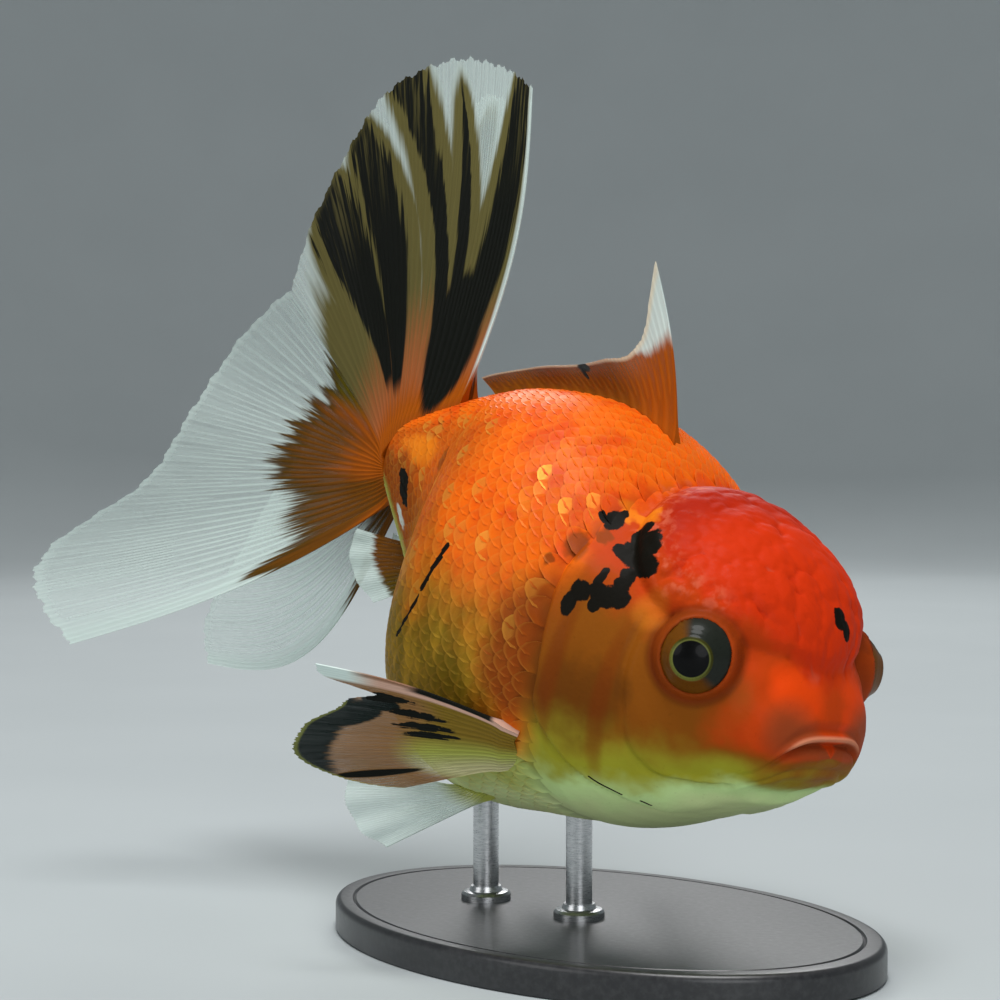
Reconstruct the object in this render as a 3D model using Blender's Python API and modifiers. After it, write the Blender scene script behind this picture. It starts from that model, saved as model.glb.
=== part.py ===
"""Fancy goldfish with a raspberry hood and a long double tail, life size, on a low display stand.

Every shape on the fish is laid out in fish millimetres: s back from the tip of the snout,
y to the fish's left, z up from the line of the mouth.  pose() then tips the whole fish
nose-down over the stand and turns it into metres.  The frame's origin is the middle of the
underside of the stand base, +Z up, with the fish swimming toward +X.
"""
import math

import bpy
import numpy as np
from mathutils import Matrix, Vector

OBJECT_NAME = "fancy_goldfish_model"
CUTTER_COLLECTION = "cutters"
MM = 0.001

# ---- how the fish hangs over the stand -------------------------------------------------
GAP = 0.30               # clearance kept between neighbouring solids
PIVOT_S = 38.5           # the fish turns about a point this far behind its snout
NOSE_DOWN = 15.6         # degrees
ROLL = -7.3              # degrees, leaning onto its left side
PIVOT_HEIGHT = 41.5      # of the turning point above the table

# ---- the stand -------------------------------------------------------------------------
BASE_LENGTH = 78.0
BASE_WIDTH = 52.0
BASE_THICK = 4.0
BASE_EDGE_ROUND = 0.9
BASE_SEGMENTS = 40
BASE_EDGE_STEPS = 2
EDGE_ANGLE = 40.0        # edges sharper than this are rounded
ROD_RADIUS = 1.6
ROD_SEGMENTS = 16
ROD_SEAT = 2.4           # how deep a rod stands in the base
ROD_REACH = 7.0          # how deep a rod runs up into the belly
ROD_AT_S = {"front": 32.0, "rear": 48.0}

# ---- body: s, crest z, keel z, half width, level of the widest point -------------------
BODY = (
    (0.0, -3.0, -6.2, 2.2, -4.6),
    (0.5, -1.2, -7.8, 4.8, -4.5),
    (1.5, 1.2, -9.2, 7.6, -4.3),
    (4.5, 5.2, -11.6, 11.0, -3.8),
    (9.5, 9.2, -14.8, 14.4, -3.5),
    (14.5, 12.0, -18.0, 16.8, -3.2),
    (20.5, 14.6, -21.4, 19.2, -3.0),
    (26.5, 17.4, -23.2, 21.0, -2.8),
    (33.5, 21.8, -25.0, 22.2, -2.8),
    (41.5, 24.2, -27.0, 22.8, -3.4),
    (49.0, 24.0, -26.8, 21.6, -4.2),
    (54.0, 23.2, -24.4, 18.9, -4.4),
    (58.0, 22.2, -19.8, 14.9, -3.2),
    (62.0, 20.8, -13.8, 10.4, -0.2),
    (66.0, 19.1, -9.0, 7.8, 3.0),
    (70.5, 16.8, -5.0, 6.2, 5.2),
    (75.5, 14.2, -1.0, 4.2, 6.6),
    (78.5, 12.4, 1.6, 3.0, 7.0),
    (80.5, 10.4, 3.6, 2.0, 7.0),
    (81.5, 8.2, 5.8, 1.0, 7.0),
)
SIDE_FULLNESS = 0.92     # below 1 squares the cross section a little
BODY_SIDES = 34
NECK_S = 25.5            # head meets trunk
TAIL_ROOT_S = 68.5       # trunk meets peduncle
BODY_STEP = 3.2          # spacing of the body rings
BODY_END = 81.5

# ---- hood, eyes, mouth, gill covers -----------------------------------------------------
HOOD_CENTRE_S = 15.4
HOOD_HALF_LENGTH = 12.3
HOOD_HALF_TURN = 62.0    # degrees round the head
HOOD_THICK = 4.9
HOOD_RIM = 0.7
HOOD_LUMP = 0.45         # height of the berry lumps, as a share of the hood's own height
HOOD_LUMPS_ROUND = 5     # lumps in one turn round the hood
HOOD_LUMP_TWIST = 3.1    # radians the lumps shift from middle to rim
HOOD_LUMP_ROWS = 9.0     # radians of lump rows from middle to rim
PAD_GRID = {"hood": (6, 24), "gill_cover": (4, 20)}   # rings out from the middle, sides round
EYE_S = 11.4
EYE_OUT = 13.2
EYE_Z = 2.65
EYE_RADIUS = 4.8
EYE_GRID = (18, 11)      # segments round, rings from front to back
LIP_RADIUS = 0.62
LIP_STEPS = 11
LIP_SIDES = 8
LIP_FLATNESS = 0.72
UPPER_LIP = (0.0, 112.0, 0.2, 3.0)     # middle turn, half span in degrees, s in front, s at the corners
LOWER_LIP = (180.0, 54.0, 0.5, 3.3)
MOUTH_Z = -4.6
MOUTH_GRID = (12, 8)
MOUTH_SIZE = (2.2, 2.6, 0.45)   # half depth, half width, half height of the opening
GILL_CENTRE = (17.4, 118.0)    # s and degrees round from the crest
GILL_HALF = (6.8, 40.0)
GILL_THICK = 1.3
GILL_RIM = 0.6

# ---- fins -------------------------------------------------------------------------------
# each row: place along the root 0..1, ray angle (0 aft, 90 up), ray length,
# sideways lean of the tip away from the body, bow of the ray across its own line
RAY_HALF = 0.40
WEB_HALF = 0.26
LEAN_POWER = 1.3
FIN_GRID = {              # rays, and steps along each ray
    "dorsal": (7, 5),
    "tail_upper": (8, 7),
    "tail_lower": (9, 7),
    "pectoral": (6, 5),
    "pelvic": (5, 5),
    "anal": (4, 4),
}
TAIL_ROOT = ((69.6, 17.6), (75.4, 14.6), (79.6, 11.9), (81.4, 9.2), (81.8, 7.0), (81.4, 4.8), (80.2, 2.9),
             (77.9, 1.0))
TAIL_ROOT_OUT = 0.95
TAIL_RIGHT_UPPER = (
    (0.00, 78.0, 41.2, -5.0, 3.6),
    (0.12, 78.5, 45.4, -3.0, 2.8),
    (0.24, 76.5, 47.0, 0.0, 1.6),
    (0.34, 71.5, 43.5, 5.0, 0.6),
    (0.44, 65.0, 37.5, 7.0, 0.0),
    (0.51, 57.0, 29.3, 9.0, 0.0),
    (0.56, 46.0, 23.0, 9.0, 0.0),
)
TAIL_RIGHT_LOWER = (
    (0.57, 44.0, 23.0, 9.0, 0.0),
    (0.63, 16.0, 24.3, 10.0, 0.0),
    (0.70, -5.0, 25.8, 13.0, 0.0),
    (0.78, -22.0, 31.0, 16.0, 0.0),
    (0.86, -32.0, 44.5, 22.0, -0.6),
    (0.94, -38.0, 46.8, 22.0, -1.0),
    (1.00, -45.5, 45.0, 20.0, -1.6),
)
TAIL_LEFT_UPPER = (
    (0.00, 72.0, 40.0, 3.0, -1.0),
    (0.16, 71.0, 43.0, 6.0, -1.0),
    (0.30, 67.0, 41.0, 8.0, -0.5),
    (0.45, 58.0, 33.0, 9.0, 0.0),
    (0.56, 46.0, 23.0, 9.0, 0.0),
)
TAIL_LEFT_LOWER = (
    (0.57, 44.0, 23.0, 9.0, 0.0),
    (0.64, 14.0, 25.0, 9.0, 0.0),
    (0.73, -10.0, 29.0, 9.0, -1.0),
    (0.83, -28.0, 40.0, 9.0, -3.2),
    (0.92, -37.5, 51.5, 8.5, -6.4),
    (1.00, -43.0, 52.5, 8.0, -9.6),
)
DORSAL_ROOT_S = (34.1, 65.0)
DORSAL = (
    (0.00, 60.0, 22.6, 0.0, 1.0),
    (0.07, 55.0, 13.6, 0.3, 0.8),
    (0.15, 49.0, 9.2, 0.5, 0.4),
    (0.30, 38.0, 6.6, 0.9, 0.2),
    (0.50, 30.0, 4.9, 0.8, 0.0),
    (0.75, 26.0, 4.0, 0.5, 0.0),
    (1.00, 22.0, 3.6, 0.2, 0.0),
)
PECTORAL_ROOT = ((29.9, 115.0), (31.9, 134.0))      # s and degrees round from the crest
PECTORAL_FLARE = 35.0                               # degrees the fin stands out from the side
PECTORAL = (
    (0.00, 0.0, 22.6, 0.6, 0.8),
    (0.20, -6.0, 19.0, -0.6, 0.5),
    (0.45, -13.0, 23.2, 0.4, 0.2),
    (0.70, -19.0, 23.4, 0.6, 0.0),
    (0.88, -24.0, 18.4, 0.2, 0.0),
    (1.00, -30.0, 11.5, 0.0, 0.0),
)
PELVIC_ROOT = ((38.5, 157.0), (43.5, 157.0))
PELVIC_FLARE = 20.0
PELVIC_RIGHT = (
    (0.00, -44.0, 15.0, 0.0, 0.0),
    (0.35, -34.0, 16.6, 0.3, 0.0),
    (0.70, -20.0, 16.2, 0.6, 0.0),
    (1.00, -4.0, 14.0, 0.6, 0.0),
)
PELVIC_LEFT = (
    (0.00, -24.0, 12.5, 0.0, 0.0),
    (0.35, -16.0, 15.2, 0.3, 0.0),
    (0.70, -6.0, 15.6, 0.6, 0.0),
    (1.00, 4.0, 13.5, 0.6, 0.0),
)
ANAL_ROOT = ((67.6, 170.0), (73.0, 166.0))
ANAL_FLARE = 10.0
ANAL = (
    (0.00, -34.0, 7.4, 0.0, 0.0),
    (0.35, -24.0, 9.0, 0.3, 0.0),
    (0.70, -14.0, 8.8, 0.5, 0.0),
    (1.00, -4.0, 7.0, 0.5, 0.0),
)


# ---- small helpers ----------------------------------------------------------------------
def smooth_rows(rows, at):
    """Follow a table of named sizes smoothly; the first column is the place along it."""
    rows = np.asarray(rows, float)
    x = rows[:, 0]
    slope = np.gradient(rows, x, axis=0)
    at = np.clip(np.asarray(at, float), x[0], x[-1])
    i = np.clip(np.searchsorted(x, at) - 1, 0, len(x) - 2)
    h = (x[i + 1] - x[i])[..., None]
    t = ((at - x[i]) / (x[i + 1] - x[i]))[..., None]
    start = (2 * t**3 - 3 * t**2 + 1) * rows[i] + (t**3 - 2 * t**2 + t) * h * slope[i]
    end = (3 * t**2 - 2 * t**3) * rows[i + 1] + (t**3 - t**2) * h * slope[i + 1]
    return start + end


def skin(s, turn, lift=0.0):
    """Points on the body: s behind the snout, turn degrees round from the crest toward the
    fish's right, lifted straight off the surface by lift."""
    s, turn, lift = np.broadcast_arrays(np.asarray(s, float), np.asarray(turn, float), lift)

    def bare(s, turn):
        row = smooth_rows(BODY, s)
        crest, keel, half, level = row[..., 1], row[..., 2], row[..., 3], row[..., 4]
        a = np.radians(turn)
        across = -np.sign(np.sin(a)) * np.abs(np.sin(a)) ** SIDE_FULLNESS
        along = np.sign(np.cos(a)) * np.abs(np.cos(a)) ** SIDE_FULLNESS
        reach = np.where(along > 0, crest - level, level - keel)
        return np.stack((s, half * across, level + reach * along), axis=-1)

    here = bare(s, turn)
    step = 0.2
    along_body = bare(np.minimum(s + step, BODY_END), turn) - bare(np.maximum(s - step, 0.0), turn)
    round_body = bare(s, turn + step) - bare(s, turn - step)
    normal = np.cross(round_body, along_body)
    normal /= np.maximum(np.linalg.norm(normal, axis=-1, keepdims=True), 1e-9)
    return here + normal * lift[..., None]


TIP = Matrix.Rotation(math.radians(NOSE_DOWN), 3, "Y") @ Matrix.Rotation(math.radians(ROLL), 3, "X")


def pose(points):
    """Fish millimetres to metres in the model's frame."""
    p = np.asarray(points, float)
    fish = np.stack((PIVOT_S - p[..., 0], p[..., 1], p[..., 2]), axis=-1)
    placed = fish @ np.array(TIP).T
    placed[..., 2] += PIVOT_HEIGHT
    return placed * MM


def material(name, colour, roughness=0.4, metallic=0.0):
    mat = bpy.data.materials.new(name)
    mat.use_nodes = True
    shader = mat.node_tree.nodes["Principled BSDF"]
    shader.inputs["Base Color"].default_value = (*colour, 1.0)
    shader.inputs["Roughness"].default_value = roughness
    shader.inputs["Metallic"].default_value = metallic
    return mat


def facing_out(points, faces):
    """The same faces, turned about if they would enclose the solid from the inside."""
    points = np.asarray(points, float)
    signed = sum(np.dot(points[f[0]], np.cross(points[f[k]], points[f[k + 1]]))
                 for f in faces for k in range(1, len(f) - 1))
    return faces if signed > 0 else [face[::-1] for face in faces]


def add_piece(name, points, faces, mat, smooth=True, cutter=False):
    """One closed solid from points in metres."""
    faces = facing_out(points, faces)
    mesh = bpy.data.meshes.new(name)
    mesh.from_pydata([tuple(p) for p in points], [], faces)
    mesh.validate()
    mesh.update()
    piece = bpy.data.objects.new(name, mesh)
    (cutters if cutter else model).objects.link(piece)
    if cutter:
        piece.hide_render = True
        piece.display_type = "WIRE"
    else:
        mesh.materials.append(mat)
    for face in mesh.polygons:
        face.use_smooth = smooth
    return piece


def cut(piece, tool):
    step = piece.modifiers.new("cut " + tool.name, "BOOLEAN")
    step.operation = "DIFFERENCE"
    step.solver = "EXACT"
    step.object = tool


def ring_faces(rings, sides):
    """Quads between rings of points, wound so they face outward."""
    return [(r * sides + (k + 1) % sides, r * sides + k,
             (r + 1) * sides + k, (r + 1) * sides + (k + 1) % sides)
            for r in range(rings - 1) for k in range(sides)]


def body_segment(name, start, stop, mat):
    """A length of the body with flat ends, or a point where it starts at the snout."""
    count = max(3, round((stop - start) / BODY_STEP))
    s = np.linspace(start, stop, count + 1)
    if start == 0.0:
        s = stop * (np.arange(count + 1) / count) ** 1.35
        s[0] = 0.0
    turns = np.arange(BODY_SIDES) * 360.0 / BODY_SIDES
    points = skin(s[:, None], turns[None, :]).reshape(-1, 3)
    faces = ring_faces(len(s), BODY_SIDES)
    faces.append(tuple(range(BODY_SIDES)))
    last = (len(s) - 1) * BODY_SIDES
    faces.append(tuple(last + k for k in reversed(range(BODY_SIDES))))
    return add_piece(name, pose(points), faces, mat)


def pad(name, grid, centre, half, thick, rim, mat, lump_height=0.0):
    """A rounded pad lying GAP off the body: the hood and the gill covers."""
    rings, sides = grid
    outer, inner = [], []
    for r in range(rings + 1):
        reach = r / rings
        for k in range(sides if r else 1):
            a = 2 * math.pi * k / sides
            s = centre[0] + half[0] * reach * math.cos(a)
            turn = centre[1] + half[1] * reach * math.sin(a)
            lump = math.sin(HOOD_LUMPS_ROUND * a + HOOD_LUMP_TWIST * reach)
            lump *= math.sin(HOOD_LUMP_ROWS * reach)
            dome = math.sqrt(max(0.0, 1 - reach**2)) * (1.0 + lump_height * lump * reach)
            height = rim + (thick - rim) * dome
            outer.append(skin(s, turn, GAP + height))
            inner.append(skin(s, turn, GAP))
    count = len(outer)
    faces = []
    for k in range(sides):
        n = (k + 1) % sides
        faces.append((0, 1 + k, 1 + n))
        faces.append((count, count + 1 + n, count + 1 + k))
        for r in range(rings - 1):
            a, b = 1 + r * sides, 1 + (r + 1) * sides
            faces.append((a + k, b + k, b + n, a + n))
            faces.append((count + a + k, count + a + n, count + b + n, count + b + k))
        edge = 1 + (rings - 1) * sides
        faces.append((edge + k, count + edge + k, count + edge + n, edge + n))
    return add_piece(name, pose(np.array(outer + inner)), faces, mat)


def fin(name, grid, root, rows, mat, side, flare=0.0):
    """A rayed fin as one thin solid. root(place) gives the start of each ray, side is -1 for
    the fish's right and +1 for its left, flare turns the fin out from the side."""
    rays, steps = FIN_GRID[grid]
    columns = 2 * rays + 1
    start, stop = rows[0][0], rows[-1][0]
    place = np.linspace(start, stop, columns)
    row = smooth_rows(rows, place)
    angle = np.radians(row[:, 1])[:, None]
    length, lean, bow = row[:, 2][:, None], row[:, 3][:, None], row[:, 4][:, None]
    t = (np.arange(steps + 1) / steps)[None, :]
    flare = math.radians(flare)
    aft = np.array((math.cos(flare), side * math.sin(flare), 0.0))
    up = np.array((0.0, 0.0, 1.0))
    out = np.array((-math.sin(flare), side * math.cos(flare), 0.0))
    curve = bow * np.sin(math.pi * t)
    along = length * t * np.cos(angle) - curve * np.sin(angle)
    rise = length * t * np.sin(angle) + curve * np.cos(angle)
    middle = (root(place)[:, None, :] + along[..., None] * aft + rise[..., None] * up
              + (lean * t**LEAN_POWER)[..., None] * out)
    normal = np.cross(np.gradient(middle, axis=0), np.gradient(middle, axis=1))
    normal /= np.linalg.norm(normal, axis=-1, keepdims=True)
    half = np.where(np.arange(columns) % 2 == 1, RAY_HALF, WEB_HALF)[:, None, None]
    points = np.concatenate((middle + normal * half, middle - normal * half)).reshape(-1, 3)
    wide, total = steps + 1, columns * (steps + 1)
    faces = []
    for c in range(columns - 1):
        for r in range(steps):
            a, b = c * wide + r, (c + 1) * wide + r
            faces.append((a, b, b + 1, a + 1))
            faces.append((total + a, total + a + 1, total + b + 1, total + b))
        for r in (0, steps):
            a, b = c * wide + r, (c + 1) * wide + r
            flat = (a, total + a, total + b, b)
            faces.append(flat if r == 0 else flat[::-1])
    for c in (0, columns - 1):
        for r in range(steps):
            a = c * wide + r
            flat = (a, a + 1, total + a + 1, total + a)
            faces.append(flat if c == 0 else flat[::-1])
    return add_piece(name, pose(points), faces, mat)


def rod_solid(name, foot, head, radius, mat, cutter=False):
    """An upright round rod between two heights, in model metres."""
    ring = [(math.cos(2 * math.pi * k / ROD_SEGMENTS), math.sin(2 * math.pi * k / ROD_SEGMENTS))
            for k in range(ROD_SEGMENTS)]
    points = [(foot[0] + radius * x, foot[1] + radius * y, z) for z in (head, foot[2]) for x, y in ring]
    faces = ring_faces(2, ROD_SEGMENTS)
    faces.append(tuple(range(ROD_SEGMENTS)))
    faces.append(tuple(ROD_SEGMENTS + k for k in reversed(range(ROD_SEGMENTS))))
    return add_piece(name, points, faces, mat, cutter=cutter)


def ball(name, grid, centre, scale, mat=None):
    """A sphere or ellipsoid given in fish millimetres; no material makes it a cutter."""
    segments, rings = grid
    points = [(centre[0] - scale[0], centre[1], centre[2])]
    for r in range(1, rings):
        a = math.pi * r / rings
        for k in range(segments):
            b = 2 * math.pi * k / segments
            points.append((centre[0] - scale[0] * math.cos(a),
                           centre[1] + scale[1] * math.sin(a) * math.cos(b),
                           centre[2] + scale[2] * math.sin(a) * math.sin(b)))
    points.append((centre[0] + scale[0], centre[1], centre[2]))
    last = len(points) - 1
    faces = []
    for k in range(segments):
        n = (k + 1) % segments
        faces.append((0, 1 + k, 1 + n))
        for r in range(rings - 2):
            a, b = 1 + r * segments, 1 + (r + 1) * segments
            faces.append((a + k, b + k, b + n, a + n))
        edge = 1 + (rings - 2) * segments
        faces.append((edge + k, last, edge + n))
    return add_piece(name, pose(np.array(points)), faces, mat, cutter=mat is None)


def lip(name, sizes, mat):
    """One lip: a tapering roll of flesh round the snout from corner to corner."""
    middle_turn, span, front_s, corner_s = sizes
    reach = np.linspace(-1.0, 1.0, LIP_STEPS)
    radius = LIP_RADIUS * (1.0 - 0.4 * reach**2)
    s = front_s + (corner_s - front_s) * np.abs(reach) ** 1.7
    turn = middle_turn + span * reach
    foot = skin(s, turn)
    centre = skin(s, turn, GAP + LIP_FLATNESS * radius)
    ahead = np.gradient(centre, axis=0)
    ahead /= np.linalg.norm(ahead, axis=1, keepdims=True)
    lift = centre - foot
    lift -= ahead * np.sum(lift * ahead, axis=1, keepdims=True)
    lift /= np.linalg.norm(lift, axis=1, keepdims=True)
    beside = np.cross(ahead, lift)
    a = np.arange(LIP_SIDES) * 2 * math.pi / LIP_SIDES
    ring = (LIP_FLATNESS * np.cos(a)[None, :, None] * lift[:, None, :]
            + np.sin(a)[None, :, None] * beside[:, None, :])
    points = (centre[:, None, :] + ring * radius[:, None, None]).reshape(-1, 3)
    faces = ring_faces(LIP_STEPS, LIP_SIDES)
    faces.append(tuple(range(LIP_SIDES)))
    last = (LIP_STEPS - 1) * LIP_SIDES
    faces.append(tuple(last + k for k in reversed(range(LIP_SIDES))))
    return add_piece(name, pose(points), faces, mat)


# ---- start clean ------------------------------------------------------------------------
for old in list(bpy.data.objects):
    bpy.data.objects.remove(old, do_unlink=True)
model = bpy.data.collections.new(OBJECT_NAME)
cutters = bpy.data.collections.new(CUTTER_COLLECTION)
bpy.context.scene.collection.children.link(model)
bpy.context.scene.collection.children.link(cutters)

hood_red = material("hood_red", (0.72, 0.045, 0.012), 0.45)
head_orange = material("head_orange", (0.70, 0.13, 0.015), 0.38)
body_orange = material("body_orange", (0.85, 0.20, 0.015), 0.32)
lip_pink = material("lip_pink", (0.72, 0.20, 0.12), 0.42)
eye_dark = material("eye_dark", (0.03, 0.035, 0.03), 0.08)
fin_orange = material("fin_orange", (0.72, 0.17, 0.03), 0.35)
fin_clear = material("fin_clear", (0.78, 0.86, 0.80), 0.30)
fin_streaked = material("fin_streaked", (0.30, 0.17, 0.06), 0.35)
stand_black = material("stand_black", (0.02, 0.02, 0.022), 0.35)
rod_steel = material("rod_steel", (0.62, 0.62, 0.64), 0.25, 1.0)

# ---- body -------------------------------------------------------------------------------
head = body_segment("head", 0.0, NECK_S, head_orange)
trunk = body_segment("trunk", NECK_S + GAP, TAIL_ROOT_S, body_orange)
peduncle = body_segment("peduncle", TAIL_ROOT_S + GAP, BODY_END, body_orange)
hood = pad("hood", PAD_GRID["hood"], (HOOD_CENTRE_S, 0.0), (HOOD_HALF_LENGTH, HOOD_HALF_TURN),
           HOOD_THICK, HOOD_RIM, hood_red, HOOD_LUMP)
for side_name, side in (("right", -1), ("left", 1)):
    pad("gill_cover_" + side_name, PAD_GRID["gill_cover"], (GILL_CENTRE[0], -side * GILL_CENTRE[1]),
        GILL_HALF, GILL_THICK, GILL_RIM, head_orange)
    eye_at = (EYE_S, side * EYE_OUT, EYE_Z)
    ball("eye_" + side_name, EYE_GRID, eye_at, (EYE_RADIUS,) * 3, eye_dark)
    socket = ball("socket_" + side_name, EYE_GRID, eye_at, (EYE_RADIUS + GAP,) * 3)
    cut(head, socket)
    cut(hood, socket)
cut(head, ball("mouth_opening", MOUTH_GRID, (0.0, 0.0, MOUTH_Z), MOUTH_SIZE))
lip("upper_lip", UPPER_LIP, lip_pink)
lip("lower_lip", LOWER_LIP, lip_pink)


# ---- fins -------------------------------------------------------------------------------
def tail_root(side):
    knots = np.linspace(0.0, 1.0, len(TAIL_ROOT))
    table = [(k, s, z) for k, (s, z) in zip(knots, TAIL_ROOT)]

    def root(place):
        at = smooth_rows(table, place)
        return np.stack((at[:, 1], np.full(len(at), side * TAIL_ROOT_OUT), at[:, 2]), axis=-1)
    return root


def side_root(ends, side):
    """A fin root lying along the side of the body between two places on it."""
    def root(place):
        s = ends[0][0] + (ends[1][0] - ends[0][0]) * place
        turn = ends[0][1] + (ends[1][1] - ends[0][1]) * place
        return skin(s, -side * turn, GAP + RAY_HALF)
    return root


def dorsal_root(place):
    return skin(DORSAL_ROOT_S[0] + (DORSAL_ROOT_S[1] - DORSAL_ROOT_S[0]) * place, 0.0, GAP)


fin("dorsal_fin", "dorsal", dorsal_root, DORSAL, fin_orange, -1)
fin("tail_right_upper", "tail_upper", tail_root(-1), TAIL_RIGHT_UPPER, fin_streaked, -1)
fin("tail_right_lower", "tail_lower", tail_root(-1), TAIL_RIGHT_LOWER, fin_clear, -1)
fin("tail_left_upper", "tail_upper", tail_root(1), TAIL_LEFT_UPPER, fin_streaked, 1)
fin("tail_left_lower", "tail_lower", tail_root(1), TAIL_LEFT_LOWER, fin_clear, 1)
for side_name, side, pelvic in (("right", -1, PELVIC_RIGHT), ("left", 1, PELVIC_LEFT)):
    fin("pectoral_fin_" + side_name, "pectoral", side_root(PECTORAL_ROOT, side), PECTORAL,
        fin_orange, side, PECTORAL_FLARE)
    fin("pelvic_fin_" + side_name, "pelvic", side_root(PELVIC_ROOT, side), pelvic,
        fin_clear, side, PELVIC_FLARE)
    fin("anal_fin_" + side_name, "anal", side_root(ANAL_ROOT, side), ANAL,
        fin_clear, side, ANAL_FLARE)

# ---- stand ------------------------------------------------------------------------------
bpy.ops.mesh.primitive_cylinder_add(vertices=BASE_SEGMENTS, radius=0.5, depth=BASE_THICK * MM,
                                    location=(0.0, 0.0, BASE_THICK * MM / 2))
base = bpy.context.object
base.name = base.data.name = "stand_base"
for vertex in base.data.vertices:
    vertex.co.x *= BASE_LENGTH * MM
    vertex.co.y *= BASE_WIDTH * MM
for collection in list(base.users_collection):
    collection.objects.unlink(base)
model.objects.link(base)
base.data.materials.append(stand_black)
edge = base.modifiers.new("soft edge", "BEVEL")
edge.width = BASE_EDGE_ROUND * MM
edge.segments = BASE_EDGE_STEPS
edge.limit_method = "ANGLE"
edge.angle_limit = math.radians(EDGE_ANGLE)

for which, s in ROD_AT_S.items():
    belly = pose(skin(s, 180.0))
    top = belly[2] + ROD_REACH * MM
    foot = (belly[0], belly[1], (BASE_THICK - ROD_SEAT) * MM)
    rod_solid("stand_rod_" + which, foot, top, ROD_RADIUS * MM, rod_steel)
    bore = (foot[0], foot[1], foot[2] - GAP * MM)
    socket = rod_solid("bore_" + which, bore, top + GAP * MM, (ROD_RADIUS + GAP) * MM, None, cutter=True)
    cut(base, socket)
    cut(trunk, socket)
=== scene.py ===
"""Looks of the fancy goldfish model: one skin, scales, rayed fins, eyes and the display stand.

The fish is laid out as its solids are: s is millimetres back from the tip of the snout, y is to
the fish's left, z is up from the line of the mouth, and turn is degrees round the body from the
crest toward the fish's right.  pose() tips the fish nose-down over the stand, in metres.
"""
import math

import bpy
import numpy as np
from mathutils import Matrix, Vector


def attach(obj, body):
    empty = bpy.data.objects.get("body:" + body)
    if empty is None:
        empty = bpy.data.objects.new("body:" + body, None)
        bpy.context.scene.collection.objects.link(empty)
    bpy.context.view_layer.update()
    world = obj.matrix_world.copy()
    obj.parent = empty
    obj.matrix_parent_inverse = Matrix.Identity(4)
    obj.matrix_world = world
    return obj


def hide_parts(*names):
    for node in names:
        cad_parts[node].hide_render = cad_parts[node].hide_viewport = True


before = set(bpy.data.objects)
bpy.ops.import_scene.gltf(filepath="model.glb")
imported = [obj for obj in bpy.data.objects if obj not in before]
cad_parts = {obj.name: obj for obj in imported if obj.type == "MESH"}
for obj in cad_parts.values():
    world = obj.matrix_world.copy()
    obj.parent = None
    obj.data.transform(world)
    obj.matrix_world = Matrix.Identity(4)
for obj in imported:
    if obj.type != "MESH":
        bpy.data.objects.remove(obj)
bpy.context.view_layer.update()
MM = 0.001
CHANCE = np.random.default_rng(11)

# ---- how the fish hangs over the stand --------------------------------------------------
PIVOT_S = 38.5
NOSE_DOWN = 15.6
ROLL = -7.3
PIVOT_HEIGHT = 41.5
STAND_BASE = (78.0, 52.0, 4.0)      # length, width, thickness
STAND_EDGE = 0.9                    # rounding of its upper edge
STAND_GROOVE = ((2.6, 0.0), (2.9, 0.25), (3.2, 0.0))     # inset, depth
STAND_COLLAR = (                    # radius, height over the base
    (0.0, -0.2), (3.1, -0.2), (3.1, 0.7), (2.8, 1.0), (2.1, 1.1), (1.9, 1.7), (0.0, 1.7),
)
ROD_RADIUS = 1.6
ROD_REACH = 7.0
ROD_AT_S = (32.0, 48.0)

# ---- body: s, crest z, keel z, half width, level of the widest point --------------------
BODY = (
    (0.0, -3.0, -6.2, 2.2, -4.6),
    (0.5, -1.2, -7.8, 4.8, -4.5),
    (1.5, 1.2, -9.2, 7.6, -4.3),
    (4.5, 5.2, -11.6, 11.0, -3.8),
    (9.5, 9.2, -14.8, 14.4, -3.5),
    (14.5, 12.0, -18.0, 16.8, -3.2),
    (20.5, 14.6, -21.4, 19.2, -3.0),
    (26.5, 17.4, -23.2, 21.0, -2.8),
    (33.5, 21.8, -25.0, 22.2, -2.8),
    (41.5, 24.2, -27.0, 22.8, -3.4),
    (49.0, 24.0, -26.8, 21.6, -4.2),
    (54.0, 23.2, -24.4, 18.9, -4.4),
    (58.0, 22.2, -19.8, 14.9, -3.2),
    (62.0, 20.8, -13.8, 10.4, -0.2),
    (66.0, 19.1, -9.0, 7.8, 3.0),
    (70.5, 16.8, -5.0, 6.2, 5.2),
    (75.5, 14.2, -1.0, 4.2, 6.6),
    (78.5, 12.4, 1.6, 3.0, 7.0),
    (80.5, 10.4, 3.6, 2.0, 7.0),
    (81.5, 8.2, 5.8, 1.0, 7.0),
)
BODY_END = 81.5
SIDE_FULLNESS = 0.92
SNOUT_CENTRE = (0.0, 0.0, -4.6)
SNOUT_DISC = (0.10, 0.24, 0.38, 0.52, 0.66, 0.80, 0.92)     # the rings that close the snout
SKIN_SIDES = 320
HEAD_PACE = 0.24         # spacing of the skin's rings over the head
BODY_PACE = 0.60         # and behind it
HEAD_END = 27.0
TOP_HALF_TURN = 112.0    # the sides are closer together above this turn
TOP_SHARE = 0.72         # share of the sides that lie there
SCALE_BED = 0.34         # how far the skin lies under the tips of the scales

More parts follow.
